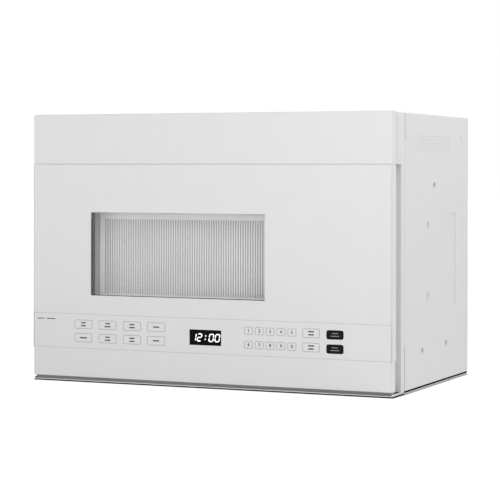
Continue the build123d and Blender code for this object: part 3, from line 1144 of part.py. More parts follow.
with BuildPart() as choke_panel:
    with BuildSketch(facing(CHOKE_BACK - SHEET, CAVITY_X, CAVITY_Z)):
        Rectangle(choke_width, choke_height)
    extrude(amount=-SHEET)
    with BuildSketch(facing(CHOKE_FRONT, CAVITY_X, CAVITY_Z)):
        Rectangle(choke_width, choke_height)
        Rectangle(choke_width - 2 * SHEET, choke_height - 2 * SHEET, mode=Mode.SUBTRACT)
    extrude(amount=-(CHOKE_BACK - CHOKE_FRONT))
    with BuildSketch(facing(DOOR_SKIN, CAVITY_X, CAVITY_Z)):
        Rectangle(TUNNEL_WIDTH + 2 * SHEET, TUNNEL_HEIGHT + 2 * SHEET)
        Rectangle(TUNNEL_WIDTH, TUNNEL_HEIGHT, mode=Mode.SUBTRACT)
    extrude(amount=-(CHOKE_BACK - DOOR_SKIN))
    with BuildSketch(facing(CHOKE_BACK - SHEET, CAVITY_X, mesh_z)):
        column_pitch = mesh_width / MESH_COLUMNS
        row_pitch = mesh_height / MESH_ROWS
        with GridLocations(column_pitch, row_pitch, MESH_COLUMNS, MESH_ROWS):
            Rectangle(column_pitch - MESH_BAR, row_pitch - MESH_BAR)
    extrude(amount=-SHEET, mode=Mode.SUBTRACT)
store(choke_panel, "choke_panel")

# ---- door: back cover, choke cover and inner window ------------------------------------------
opening_x = (choke_x[0] + CHOKE_LAND, choke_x[1] - CHOKE_LAND)
opening_z = (choke_z[0] + CHOKE_LAND, choke_z[1] - CHOKE_LAND)
notch_high = PLATE_UPPER
notch_low = PLATE_LOWER + HINGE_ARM_THICK
notch_right = PIVOT_X - arm_half + HINGE_PLATE_WIDTH
GUIDE_WALL = 2.5
GUIDE_HEIGHT = 24.0
GUIDE_INSET = 30.0
SEAT_THICK = 2.0
spring_low = LATCH_HIGH + FIT
spring_high = spring_low + SPRING_LENGTH

with BuildPart() as door_back_cover:
    block((COVER_LEFT, COVER_RIGHT), (DOOR_SKIN, DOOR_BACK), (COVER_LOW, COVER_HIGH))
    left_rear = door_back_cover.edges().filter_by(Axis.Z).group_by(Axis.Y)[-1].sort_by(Axis.X)[0]
    fillet(left_rear, radius=COVER_CORNER)
    block((COVER_LEFT - 1, notch_right + FIT), (DOOR_SKIN - 1, DOOR_BACK + 1), (notch_high, COVER_HIGH + 1),
          mode=Mode.SUBTRACT)
    block((COVER_LEFT - 1, notch_right + FIT), (DOOR_SKIN - 1, DOOR_BACK + 1), (COVER_LOW - 1, notch_low),
          mode=Mode.SUBTRACT)
    offset(amount=-COVER_WALL, openings=door_back_cover.faces().sort_by(Axis.Y)[0])
    block(opening_x, (CHOKE_BACK - 1, DOOR_BACK + 1), opening_z, mode=Mode.SUBTRACT)
    for slot in hook_slots:
        block((LATCH_X - LATCH_THICK / 2 - FIT, LATCH_X + LATCH_THICK / 2 + FIT),
              (CHOKE_BACK - 1, DOOR_BACK + 1), (slot[0] + 1 + HOOK_NOSE - FIT, slot[1]), mode=Mode.SUBTRACT)
    for guide_z in (LATCH_LOW + GUIDE_INSET, LATCH_HIGH - GUIDE_INSET - GUIDE_HEIGHT):
        for side in (-1, 1):
            wall = LATCH_X + side * (LATCH_THICK / 2 + FIT)
            block(span(wall, wall + side * GUIDE_WALL), (LATCH_FRONT, CHOKE_BACK),
                  (guide_z, guide_z + GUIDE_HEIGHT))
    block((LATCH_X - 2 * SPRING_RADIUS, LATCH_X + 2 * SPRING_RADIUS), (LATCH_FRONT, CHOKE_BACK),
          (spring_high, spring_high + SEAT_THICK))
    for wall_low in (notch_high - COVER_WALL, notch_low):
        upright(PIVOT_X, PIVOT_DEPTH, (wall_low - 1, wall_low + COVER_WALL + 1), BUSH_RADIUS + FIT,
                mode=Mode.SUBTRACT)
store(door_back_cover, "door_back_cover")

INNER_MARGIN = 12.0
inner_width = WINDOW_WIDTH + 2 * INNER_MARGIN
inner_height = WINDOW_HEIGHT + 2 * INNER_MARGIN
FILM = 0.8
CHOKE_COVER_THICK = 1.6

with BuildPart() as choke_cover:
    with BuildSketch(facing(CHOKE_BACK, CAVITY_X, CAVITY_Z)):
        Rectangle(choke_width - 2 * (CHOKE_LAND + FIT), choke_height - 2 * (CHOKE_LAND + FIT))
        Rectangle(inner_width + 2 * FIT, inner_height + 2 * FIT, mode=Mode.SUBTRACT)
    extrude(amount=-CHOKE_COVER_THICK)
store(choke_cover, "choke_cover")

with BuildPart() as inner_window:
    with BuildSketch(facing(CHOKE_BACK, CAVITY_X, CAVITY_Z)):
        Rectangle(inner_width, inner_height)
    extrude(amount=-FILM)
store(inner_window, "inner_window")

# ---- door: control strip with raised key pads, display, control board and lower trim ---------
MODE_KEY = (31.0, 14.0)
MODE_KEYS_X = (-212.0, -169.0, -126.0, -84.0)
NUMBER_KEY = (13.8, 11.5)
NUMBER_PITCH = 17.75
NUMBER_FIRST_X = 72.5
NUMBER_COLUMNS = 5
SIDE_KEY = (27.3, 13.6)
SIDE_KEYS_X = (174.5, 212.0)
KEY_ROWS = (16.4, 37.6)  # strip's lower edge to the middles of the two rows
key_rows_z = [STRIP_BOTTOM + rise for rise in KEY_ROWS]


with BuildPart() as control_strip:
    block((-HALF + INLAY_MARGIN + FIT, HALF - INLAY_MARGIN - FIT), (KEY_RISE, INLAY),
          (STRIP_BOTTOM + FIT, STRIP_TOP - FIT))
    block((-DISPLAY_WIDTH / 2, DISPLAY_WIDTH / 2), (0, INLAY), (display_low, display_low + DISPLAY_HEIGHT),
          mode=Mode.SUBTRACT)
    number_keys_x = [NUMBER_FIRST_X + NUMBER_PITCH * column for column in range(NUMBER_COLUMNS)]
    for size, columns in ((MODE_KEY, MODE_KEYS_X), (NUMBER_KEY, number_keys_x), (SIDE_KEY, SIDE_KEYS_X)):
        with BuildSketch(facing(KEY_RISE)):
            with Locations(*[(column, row) for column in columns for row in key_rows_z]):
                RectangleRounded(size[0], size[1], KEY_CORNER)
        extrude(amount=KEY_RISE)
store(control_strip, "control_strip")


DISPLAY_DEEP = 6.0
DISPLAY_BORDER = 3.5
CONTROL_BOARD_DEPTH = MOULD + DISPLAY_DEEP
CONTROL_BOARD_HALF = 180.0
CONTROL_BOARD_MARGIN = 5.0
POST_RADIUS = 2.5
POST_MARGIN = (6.0, 4.0)
PROCESSOR = (24.0, 24.0)
CONNECTOR = (40.0, 8.0)
CHIP_THICK = 3.0
PROCESSOR_X = 72.0
CONNECTOR_X = 130.0

with BuildPart() as display_module:
    block((-DISPLAY_WIDTH / 2 + FIT, DISPLAY_WIDTH / 2 - FIT), (FIT, CONTROL_BOARD_DEPTH),
          (display_low + FIT, display_low + DISPLAY_HEIGHT - FIT))
    block((-DISPLAY_WIDTH / 2 - DISPLAY_BORDER, DISPLAY_WIDTH / 2 + DISPLAY_BORDER),
          (MOULD, CONTROL_BOARD_DEPTH),
          (display_low - DISPLAY_BORDER, display_low + DISPLAY_HEIGHT + DISPLAY_BORDER))
store(display_module, "display_module")

with BuildPart() as control_board:
    board_z = (STRIP_BOTTOM + CONTROL_BOARD_MARGIN, STRIP_TOP - CONTROL_BOARD_MARGIN)
    board_back = CONTROL_BOARD_DEPTH + BOARD_THICK
    block((-CONTROL_BOARD_HALF, CONTROL_BOARD_HALF), (CONTROL_BOARD_DEPTH, board_back), board_z)
    with BuildSketch(facing(CONTROL_BOARD_DEPTH, z=(board_z[0] + board_z[1]) / 2)):
        with GridLocations(2 * (CONTROL_BOARD_HALF - POST_MARGIN[0]),
                           board_z[1] - board_z[0] - 2 * POST_MARGIN[1], 2, 2):
            Circle(POST_RADIUS)
    extrude(amount=DISPLAY_DEEP)
    for chip_x, chip in ((PROCESSOR_X, PROCESSOR), (CONNECTOR_X, CONNECTOR)):
        with BuildSketch(facing(board_back, chip_x, (board_z[0] + board_z[1]) / 2)):
            Rectangle(chip[0], chip[1])
        extrude(amount=-CHIP_THICK)
store(control_board, "control_board")

with BuildPart() as lower_trim:
    block((-HALF + TRIM_INSET, HALF - TRIM_INSET), (0, MOULD), (DOOR_BOTTOM, STRIP_BOTTOM))
    fillet(lower_trim.faces().sort_by(Axis.Y)[0].edges().filter_by(Axis.Z), radius=DOOR_EDGE)
    fillet(lower_trim.faces().sort_by(Axis.Y)[0].edges().sort_by(Axis.Z)[0], radius=DOOR_EDGE)
store(lower_trim, "lower_trim")

# ---- door: hinge plates and bushes -----------------------------------------------------------
with BuildPart() as door_hinge_plates:
    for plate_z in (PLATE_UPPER, PLATE_LOWER):
        block((PIVOT_X - arm_half, notch_right), (DOOR_SKIN, CHOKE_BACK),
              (plate_z, plate_z + HINGE_ARM_THICK))
        upright(PIVOT_X, PIVOT_DEPTH, (plate_z - 1, plate_z + HINGE_ARM_THICK + 1), BUSH_RADIUS,
                mode=Mode.SUBTRACT)
store(door_hinge_plates, "door_hinge_plates")


def bush(plate_face, direction):
    """Flanged bush: its collar lies on the plate's arm side and its barrel points by direction."""
    upright(PIVOT_X, PIVOT_DEPTH, span(plate_face, plate_face + direction * BUSH_LENGTH), BUSH_RADIUS)
    collar = BUSH_FLANGE - RUNNING
    upright(PIVOT_X, PIVOT_DEPTH, span(plate_face, plate_face - direction * collar), BUSH_RADIUS + 1)


with BuildPart() as hinge_bushes:
    bush(PLATE_UPPER + HINGE_ARM_THICK, -1)
    bush(PLATE_LOWER, 1)
    upright(PIVOT_X, PIVOT_DEPTH, (DOOR_BOTTOM, DOOR_TOP), HINGE_PIN + RUNNING, mode=Mode.SUBTRACT)
store(hinge_bushes, "hinge_bushes")

# ---- door: latch lever with two hooks, and its return spring ---------------------------------
NOSE_LENGTH = 6.0
hook_tip = DOOR_BACK + HOOK_REACH

with BuildPart() as latch_lever:
    with BuildSketch(across(LATCH_X - LATCH_THICK / 2, 0, 0)):
        with BuildLine():
            Polyline((LATCH_FRONT, LATCH_LOW), (LATCH_BACK, LATCH_LOW), (LATCH_BACK, LATCH_HIGH),
                     (LATCH_FRONT, LATCH_HIGH), close=True)
        make_face()
        for low in (HOOK_LOW, HOOK_HIGH):
            with BuildLine():
                Polyline((LATCH_BACK - 2, low), (hook_tip - NOSE_LENGTH, low),
                         (hook_tip - NOSE_LENGTH, low - HOOK_NOSE), (hook_tip - 2, low - HOOK_NOSE),
                         (hook_tip, low + HOOK_HEIGHT / 2), (hook_tip - 2, low + HOOK_HEIGHT),
                         (LATCH_BACK - 2, low + HOOK_HEIGHT), close=True)
            make_face()
    extrude(amount=LATCH_THICK)
store(latch_lever, "latch_lever")

with BuildPart() as latch_spring:
    spring_depth = (LATCH_FRONT + LATCH_BACK) / 2
    upright(LATCH_X, spring_depth, (spring_low, spring_high), SPRING_RADIUS)
    upright(LATCH_X, spring_depth, (spring_low, spring_high), SPRING_RADIUS - SPRING_WIRE,
            mode=Mode.SUBTRACT)
store(latch_spring, "latch_spring")

# ---- interlock bracket and door switches behind the front frame ------------------------------
BRACKET_WALL = 2.5
POCKET_GAP = 6.0
CATCH_LENGTH = 4.5
SWITCH_SIZE = (10.0, 28.0, 16.0)
bracket_left = LATCH_X - LATCH_THICK / 2 - POCKET_GAP
bracket_right = LATCH_X + LATCH_THICK / 2 + POCKET_GAP
BRACKET_REACH = 10.0
BRACKET_END = 20.0
POCKET_MARGIN = 3.0
CATCH_HEIGHT = 5.0
SWITCH_DROP = 4.0
bracket_back = hook_tip + BRACKET_REACH

with BuildPart() as interlock_bracket:
    low_z = HOOK_LOW - BRACKET_END
    high_z = HOOK_HIGH + HOOK_HEIGHT + BRACKET_END
    block((bracket_left - BRACKET_WALL, bracket_right + BRACKET_WALL),
          (CAVITY_FRONT, CAVITY_FRONT + BRACKET_WALL), (low_z, high_z))
    for slot in hook_slots:
        block((bracket_left - BRACKET_WALL, bracket_right + BRACKET_WALL), (CAVITY_FRONT, bracket_back),
              (slot[0] - 2 * POCKET_MARGIN, slot[1] + 2 * POCKET_MARGIN))
        block((bracket_left, bracket_right), (CAVITY_FRONT - 1, bracket_back + 1),
              (slot[0] - POCKET_MARGIN, slot[1] + POCKET_MARGIN), mode=Mode.SUBTRACT)
    for low in (HOOK_LOW, HOOK_HIGH):
        catch_back = hook_tip - NOSE_LENGTH - FIT
        block((bracket_left - 1, bracket_right + 1), (catch_back - CATCH_LENGTH, catch_back),
              (low - HOOK_NOSE - CATCH_HEIGHT, low - FIT))
store(interlock_bracket, "interlock_bracket")

with BuildPart() as door_switches:
    for low in (HOOK_LOW, HOOK_HIGH):
        base_x = bracket_left - BRACKET_WALL - SWITCH_SIZE[0]
        block((base_x, base_x + SWITCH_SIZE[0]),
              (CAVITY_FRONT + BRACKET_WALL, CAVITY_FRONT + BRACKET_WALL + SWITCH_SIZE[1]),
              (low - SWITCH_DROP, low - SWITCH_DROP + SWITCH_SIZE[2]))
    block((bracket_right + BRACKET_WALL, bracket_right + BRACKET_WALL + SWITCH_SIZE[0]),
          (CAVITY_FRONT + BRACKET_WALL, CAVITY_FRONT + BRACKET_WALL + SWITCH_SIZE[1]),
          (HOOK_LOW - SWITCH_DROP, HOOK_LOW - SWITCH_DROP + SWITCH_SIZE[2]))
store(door_switches, "door_switches")

# ---- case screws -----------------------------------------------------------------------------
with BuildPart() as case_screws:
    for side in (-1, 1):
        for depth, z in SIDE_SCREWS:
            seat = side * (HALF - SCREW_SET)
            crosswise(span(seat, seat + side * SCREW_HEAD_THICK), depth, z, SCREW_HEAD)
            crosswise(span(seat, seat - side * SCREW_LENGTH), depth, z, SCREW_RADIUS)
store(case_screws, "case_screws")
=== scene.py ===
"""Looks of an over the range microwave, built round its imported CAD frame."""
import json
import math

import bmesh
import bpy
from mathutils import Matrix, Vector


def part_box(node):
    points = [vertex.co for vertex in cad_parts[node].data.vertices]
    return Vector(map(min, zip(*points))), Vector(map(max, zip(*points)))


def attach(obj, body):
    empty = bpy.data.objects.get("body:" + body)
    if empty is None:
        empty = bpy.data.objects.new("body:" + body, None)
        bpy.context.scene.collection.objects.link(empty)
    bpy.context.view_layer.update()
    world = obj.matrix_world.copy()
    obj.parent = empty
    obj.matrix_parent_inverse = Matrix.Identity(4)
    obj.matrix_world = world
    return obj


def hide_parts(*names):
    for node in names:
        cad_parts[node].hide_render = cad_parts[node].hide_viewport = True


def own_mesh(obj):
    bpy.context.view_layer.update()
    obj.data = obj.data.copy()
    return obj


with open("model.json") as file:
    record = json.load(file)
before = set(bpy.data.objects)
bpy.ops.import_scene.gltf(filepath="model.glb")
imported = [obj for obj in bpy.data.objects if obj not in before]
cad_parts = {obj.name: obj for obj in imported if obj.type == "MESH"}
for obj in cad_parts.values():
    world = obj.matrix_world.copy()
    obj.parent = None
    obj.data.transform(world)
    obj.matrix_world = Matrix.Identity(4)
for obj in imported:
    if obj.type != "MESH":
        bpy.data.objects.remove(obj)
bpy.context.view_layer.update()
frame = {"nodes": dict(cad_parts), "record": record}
nodes = frame["nodes"]

# Sizes are in millimetres and depths run back from the door's face, except where a comment says
# metres.

# ---- sizes from the CAD source --------------------------------------------------------------
MM = 0.001
HALF_DEPTH = 185.0
HALF = 303.0  # half the body's width
INSIDE = 302.0  # inner face of the side panels
WINDOW = (-50.0, 202.5)  # middle of the window, across and up
WINDOW_SIZE = (298.0, 130.5)
CHOKE_X = (-250.0, 150.0)
CHOKE_Z = (68.0, 337.0)
CHOKE_FRONT = 20.0
CHOKE_BACK = 34.6
SHEET = 1.0
DOOR_SKIN = 15.2
STRIP = (53.6, 107.3)  # foot and top of the control strip
PAD_FACE = 0.0
DISPLAY_Z = 78.1
DISPLAY_FACE = 0.3
FILTER_X = 221.5
FILTER_SIZE = (127.0, 194.0)
FILTER_FRONT = 150.0
FILTER_FRAME = 9.0
SIDE_SCREWS = ((194.0, 312.0), (137.0, 58.7), (255.0, 61.3))  # depth and height of each
FRONT_DIMPLES = ((162.6, 250.6), (162.0, 141.6))
SCREW_FACE = 301.6  # outer face of the sunk screw heads
CASE = (55.4, 369.0)  # depths of the side panels
CASE_HEIGHTS = (5.3, 420.5)
RETURN_END = 54.0  # rear edge of the front frame's return
LIP = 3.0  # depth of the base's front lip


def at(x, depth, z):
    """A point in metres, from millimetres across, back from the door's face, and up."""
    return (x * MM, (depth - HALF_DEPTH) * MM, z * MM)


# ---- shader helpers -------------------------------------------------------------------------
def worked(tree, operation, first, second):
    """Output of a math node fed by a link and by a link or a plain number."""
    node = tree.nodes.new("ShaderNodeMath")
    node.operation = operation
    tree.links.new(first, node.inputs[0])
    if isinstance(second, float):
        node.inputs[1].default_value = second
    else:
        tree.links.new(second, node.inputs[1])
    return node.outputs[0]


def any_ray(tree, kinds):
    """1 for a ray of one of these kinds, and 0 for all others."""
    rays = tree.nodes.new("ShaderNodeLightPath")
    total = rays.outputs[kinds[0]]
    for kind in kinds[1:]:
        total = worked(tree, "MAXIMUM", total, rays.outputs[kind])
    return total


def blend_into(tree, output, share, first, second):
    """Sends the output a blend of two shaders, with this share of the second."""
    blend = tree.nodes.new("ShaderNodeMixShader")
    tree.links.new(share, blend.inputs["Fac"])
    tree.links.new(first.outputs[0], blend.inputs[1])
    tree.links.new(second.outputs[0], blend.inputs[2])
    tree.links.new(blend.outputs["Shader"], tree.nodes[output].inputs["Surface"])


# ---- materials ------------------------------------------------------------------------------
MOTTLE_RAMP = (0.25, 0.75)  # where the noise reaches the darker and the lighter colour
MOTTLE_DETAIL = 4.0
GRAIN_DETAIL = 3.0


def scaled(colour, factor):
    return tuple(min(1.0, c * factor) for c in colour) + (1.0,)


def finish(name, colour, roughness, mottle=0.03, mottle_scale=30.0, grain=900.0, relief=0.00004,
           swing=0.05, stretch=(1.0, 1.0, 1.0), cells=False, metallic=0.0, coat=0.0, clear=0.0,
           gloss=0.5, ior=1.5):
    """A surface whose colour, roughness and bump come from noise at the scale of the real one.

    The colour swings by mottle and the roughness by swing, and relief is the bump in metres.
    """
    made = bpy.data.materials.new(name)
    made.use_nodes = True
    tree = made.node_tree
    add, join = tree.nodes.new, tree.links.new
    shader = tree.nodes["Principled BSDF"]
    shader.inputs["Metallic"].default_value = metallic
    shader.inputs["Coat Weight"].default_value = coat
    shader.inputs["Transmission Weight"].default_value = clear
    shader.inputs["Specular IOR Level"].default_value = gloss
    shader.inputs["IOR"].default_value = ior
    place = add("ShaderNodeTexCoord")
    fit = add("ShaderNodeMapping")
    fit.inputs["Scale"].default_value = stretch
    join(place.outputs["Object"], fit.inputs["Vector"])
    if cells:
        broad = add("ShaderNodeTexVoronoi")
        shade = broad.outputs["Color"]
    else:
        broad = add("ShaderNodeTexNoise")
        broad.inputs["Detail"].default_value = MOTTLE_DETAIL
        shade = broad.outputs["Fac"]
    broad.inputs["Scale"].default_value = mottle_scale
    join(fit.outputs["Vector"], broad.inputs["Vector"])
    ramp = add("ShaderNodeValToRGB")
    for stop, position, factor in zip(ramp.color_ramp.elements, MOTTLE_RAMP,
                                      (1.0 - mottle, 1.0 + mottle)):
        stop.position = position
        stop.color = scaled(colour, factor)
    join(shade, ramp.inputs["Fac"])
    join(ramp.outputs["Color"], shader.inputs["Base Color"])
    fine = add("ShaderNodeTexNoise")
    fine.inputs["Scale"].default_value = grain
    fine.inputs["Detail"].default_value = GRAIN_DETAIL
    join(fit.outputs["Vector"], fine.inputs["Vector"])
    spread = add("ShaderNodeMapRange")
    spread.inputs["To Min"].default_value = roughness - swing
    spread.inputs["To Max"].default_value = roughness + swing
    join(fine.outputs["Fac"], spread.inputs["Value"])
    join(spread.outputs["Result"], shader.inputs["Roughness"])
    bump = add("ShaderNodeBump")
    bump.inputs["Distance"].default_value = relief
    join(fine.outputs["Fac"], bump.inputs["Height"])
    join(bump.outputs["Normal"], shader.inputs["Normal"])
    return made


def lets_lamps_through(made):
    """Makes glass clear to the light on what lies behind it, from the lamps and from all round."""
    tree = made.node_tree
    clear = tree.nodes.new("ShaderNodeBsdfTransparent")
    onward = any_ray(tree, ("Is Shadow Ray", "Is Diffuse Ray"))
    blend_into(tree, "Material Output", onward, tree.nodes["Principled BSDF"], clear)


def glow(made, colour, strength):
    """Gives a surface light of its own, as the display's segments have."""
    shader = made.node_tree.nodes["Principled BSDF"]
    shader.inputs["Emission Color"].default_value = colour + (1.0,)
    shader.inputs["Emission Strength"].default_value = strength


WHITE = (0.80, 0.80, 0.805)
CLOCK_WHITE = (0.95, 0.97, 1.0)
CLOCK_GLOW = 0.8

LOOKS = {
    "white_paint": dict(colour=WHITE, roughness=0.42, mottle=0.012, grain=1400.0, relief=0.00003),
    "white_plastic": dict(colour=WHITE, roughness=0.30, mottle=0.008, grain=700.0,
                          relief=0.000008, coat=0.15),
    "cavity_paint": dict(colour=(0.88, 0.88, 0.87), roughness=0.38, mottle=0.03, grain=1100.0,
                         relief=0.00003),
    "galvanised": dict(colour=(0.56, 0.58, 0.59), roughness=0.42, mottle=0.045, mottle_scale=150.0,
                       cells=True, metallic=0.85, swing=0.08),
    "bright_steel": dict(colour=(0.60, 0.60, 0.61), roughness=0.30, mottle=0.06, grain=1500.0,
                         stretch=(1.0, 1.0, 8.0), metallic=1.0, relief=0.00001),
    "core_steel": dict(colour=(0.20, 0.18, 0.16), roughness=0.50, mottle=0.25, mottle_scale=300.0,
                       stretch=(0.1, 1.0, 0.1), metallic=0.4),
    "aluminium": dict(colour=(0.72, 0.73, 0.74), roughness=0.35, mottle=0.05, grain=1800.0,
                      metallic=0.95),
    "filter_mesh": dict(colour=(0.62, 0.63, 0.64), roughness=0.40, mottle=0.12, mottle_scale=260.0,
                        metallic=0.9, relief=0.0001),
    "black_plastic": dict(colour=(0.012, 0.012, 0.013), roughness=0.45, mottle=0.15, grain=1200.0,
                          gloss=0.04),
    "grey_plastic": dict(colour=(0.64, 0.64, 0.64), roughness=0.45, mottle=0.02, grain=1200.0),
    "black_rubber": dict(colour=(0.012, 0.012, 0.0125), roughness=0.70, mottle=0.2, grain=1800.0,
                         gloss=0.0),
    "clear_glass": dict(colour=(0.985, 0.99, 0.988), roughness=0.03, mottle=0.003, relief=0.000001,
                        swing=0.01, clear=1.0, gloss=0.3, ior=1.36),
    "film": dict(colour=(0.30, 0.30, 0.30), roughness=0.35, mottle=0.02, relief=0.00002, clear=0.75),
    "frosted_glass": dict(colour=(0.86, 0.86, 0.85), roughness=0.5, mottle=0.02, relief=0.00003,
                          clear=0.55),
    "display": dict(colour=(0.004, 0.004, 0.005), roughness=0.12, mottle=0.1, relief=0.000002,
                    swing=0.02, gloss=0.05),
    "board": dict(colour=(0.05, 0.19, 0.08), roughness=0.40, mottle=0.3, mottle_scale=250.0),
    "mica": dict(colour=(0.60, 0.57, 0.50), roughness=0.35, mottle=0.15, mottle_scale=120.0),
    # a grey whose darkness is painted shade, for the window's walls and the strip under the door's foot
    "painted_shade_grey": dict(colour=(0.34, 0.34, 0.34), roughness=0.5, mottle=0.05, grain=1100.0),
    "ink_grey": dict(colour=(0.30, 0.30, 0.31), roughness=0.5, mottle=0.05, mottle_scale=500.0),
    "ink_dark": dict(colour=(0.03, 0.03, 0.032), roughness=0.5, mottle=0.08, mottle_scale=500.0),
    "clock_segments": dict(colour=CLOCK_WHITE, roughness=0.4, mottle=0.04, mottle_scale=400.0),
}
SEE_THROUGH = ("clear_glass", "film", "frosted_glass")

finishes = {name: finish(name, **look) for name, look in LOOKS.items()}
for name in SEE_THROUGH:
    lets_lamps_through(finishes[name])
glow(finishes["clock_segments"], CLOCK_WHITE, CLOCK_GLOW)

slot_of = {part["node"]: part["material_slot"] for part in frame["record"]["subparts"]}
for node, thing in nodes.items():
    thing.data.materials.clear()
    look = "frosted_glass" if node == "lamp_cover" else slot_of[node]
    thing.data.materials.append(finishes[look])


# ---- outlines and mesh building -------------------------------------------------------------
def rounded(x, z, size, radius, steps=4):
    """Outline of a rectangle with round corners, anticlockwise from the front."""
    outline = []
    for corner, (side, up) in enumerate(((1, 1), (-1, 1), (-1, -1), (1, -1))):
        for step in range(steps + 1):
            turn = math.radians(90 * (corner + step / steps))
            outline.append((x + side * (size[0] / 2 - radius) + radius * math.cos(turn),
                            z + up * (size[1] / 2 - radius) + radius * math.sin(turn)))
    return outline


def smaller(size, by):
    """A size taken in by the same width on all sides."""
    return (size[0] - 2 * by, size[1] - 2 * by)


def centre(ends):
    return (ends[0] + ends[1]) / 2


def length(ends):
    return ends[1] - ends[0]


def ends(middle, size):
    return (middle - size / 2, middle + size / 2)


class Shape:
    """Points and faces of one piece, gathered from slabs, rings, bars and printed marks."""

    def __init__(self):
        self.mesh = bmesh.new()

    def loop(self, outline, depth):
        return [self.mesh.verts.new(at(x, depth, z)) for x, z in outline]

    def circle(self, x, depth, z, radius, steps):
        """A round loop that faces sideways."""
        turns = [2 * math.pi * step / steps for step in range(steps)]
        return [self.mesh.verts.new(at(x, depth + radius * math.cos(turn), z + radius * math.sin(turn)))
                for turn in turns]

    def bridge(self, first, second):
        for k in range(len(first)):
            after = (k + 1) % len(first)
            self.mesh.faces.new((first[k], first[after], second[after], second[k]))

    def closed(self, loops):
        """A solid through these loops, with a face over the first and the last."""
        self.mesh.faces.new(loops[0])
        self.mesh.faces.new(loops[-1])
        for first, second in zip(loops, loops[1:]):
            self.bridge(first, second)

    def slab(self, outline, near, far):
        self.closed([self.loop(outline, near), self.loop(outline, far)])

    def cushion(self, x, z, size, corner, ease, depths, steps=4):
        """A slab whose front edge is eased; depths are those of its crown, shoulder and back."""
        crown = rounded(x, z, smaller(size, ease), corner - ease, steps)
        outline = rounded(x, z, size, corner, steps)
        self.closed([self.loop(path, depth) for path, depth in zip((crown, outline, outline), depths)])

    def ring(self, outer, inner, near, far):
        loops = [self.loop(outer, near), self.loop(inner, near), self.loop(inner, far),
                 self.loop(outer, far)]
        for k in range(4):
            self.bridge(loops[k], loops[(k + 1) % 4])

    def bar(self, x, depth, z):
        outline = [(x[0], z[0]), (x[1], z[0]), (x[1], z[1]), (x[0], z[1])]
        self.slab(outline, *depth)

    def stamp(self, mesh, where):
        """Adds a copy of a mesh, carried by a matrix."""
        start = len(self.mesh.verts)
        self.mesh.from_mesh(mesh)
        self.mesh.verts.ensure_lookup_table()
        bmesh.ops.transform(self.mesh, matrix=where, verts=self.mesh.verts[start:])

    def piece(self, name, body, slot, look=None, smooth=False, replaces=()):
        """Hands the mesh over as a visible piece, which looks as its slot does or as look says."""
        bmesh.ops.recalc_face_normals(self.mesh, faces=self.mesh.faces)
        mesh = bpy.data.meshes.new(name)
        self.mesh.to_mesh(mesh)
        self.mesh.free()
        for polygon in mesh.polygons:
            polygon.use_smooth = smooth
        mesh.materials.append(finishes[look or slot])
        thing = bpy.data.objects.new(name, mesh)
        bpy.context.scene.collection.objects.link(thing)
        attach(thing, body)
        if replaces:
            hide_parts(*replaces)
        return thing


# ---- door: choke panel with its punched food screen -----------------------------------------
MARGIN_SIDE = 7.0  # from the window's edge to the holes
MARGIN_TOP = 11.0
MARGIN_FOOT = 1.6
HOLE_PITCH = (4.11, 2.05)
BAR = 1.85  # width of the upright metal between two columns of holes
WEB = 0.26  # height of the metal between two holes, at its middle
WEB_END = 0.6
WEB_TAPER = 0.3  # share of the hole's width over which the web grows to its end
SQUARE_CORNER = 0.4

window_x = ends(WINDOW[0], WINDOW_SIZE[0])
window_z = ends(WINDOW[1], WINDOW_SIZE[1])
hole_x = (window_x[0] + MARGIN_SIDE, window_x[1] - MARGIN_SIDE)
hole_z = (window_z[0] + MARGIN_FOOT, window_z[1] - MARGIN_TOP)
plate = (CHOKE_BACK - SHEET, CHOKE_BACK)  # depths of the plate that has the holes


def square(middle, size, radius=SQUARE_CORNER):
    return rounded(middle[0], middle[1], size, radius, steps=2)


def web_outline(left, right, z):
    """Strip of metal between two holes, thinner in its middle."""
    taper = WEB_TAPER * (right - left)
    upper = [(right, WEB_END / 2), (right - taper, WEB / 2), (left + taper, WEB / 2), (left, WEB_END / 2)]
    return [(x, z + up) for x, up in upper] + [(x, z - up) for x, up in reversed(upper)]


def food_screen():
    """Choke panel with fine slots, each column half a pitch off its neighbours."""
    columns = round(length(hole_x) / HOLE_PITCH[0])
    rows = round(length(hole_z) / HOLE_PITCH[1])
    pitch_x = length(hole_x) / columns
    pitch_z = length(hole_z) / rows
    field_size = (length(hole_x) + BAR, length(hole_z) + 2 * WEB)
    field = square((centre(hole_x), centre(hole_z)), field_size)
    choke = (centre(CHOKE_X), centre(CHOKE_Z))
    choke_size = (length(CHOKE_X), length(CHOKE_Z))
    rim = square(choke, choke_size)
    screen = Shape()
    screen.ring(rim, field, *plate)
    screen.ring(rim, square(choke, smaller(choke_size, SHEET)), CHOKE_FRONT, plate[0])
    bar_z = (hole_z[0] - WEB, hole_z[1] + WEB)
    for column in range(columns + 1):
        screen.bar(ends(hole_x[0] + column * pitch_x, BAR), plate, bar_z)
    for column in range(columns):
        left = hole_x[0] + column * pitch_x + BAR / 2
        shift = 0.5 * (column % 2)
        for row in range(rows + 1):
            web_z = hole_z[0] + (row + shift) * pitch_z
            if web_z <= bar_z[1]:
                screen.slab(web_outline(left, left + pitch_x - BAR, web_z), *plate)
    screen.piece("food_screen", "door", "cavity_paint", replaces=("choke_panel",))


food_screen()

# ---- door: walls of the window's opening in a grey of painted shade, and the glass seal in it ---
GLASS_SEAL_GAP = (0.05, 0.25)  # from the window's edge to its outside and its inside
GLASS_SEAL_CORNER = 0.1
GLASS_SEAL_DEPTHS = (0.6, 3.9)

tunnel = Shape()
tunnel.ring(square(WINDOW, smaller(WINDOW_SIZE, -2 * SHEET)), square(WINDOW, smaller(WINDOW_SIZE, -SHEET)),
            DOOR_SKIN, plate[0])
tunnel.piece("window_tunnel", "door", "cavity_paint", "painted_shade_grey")

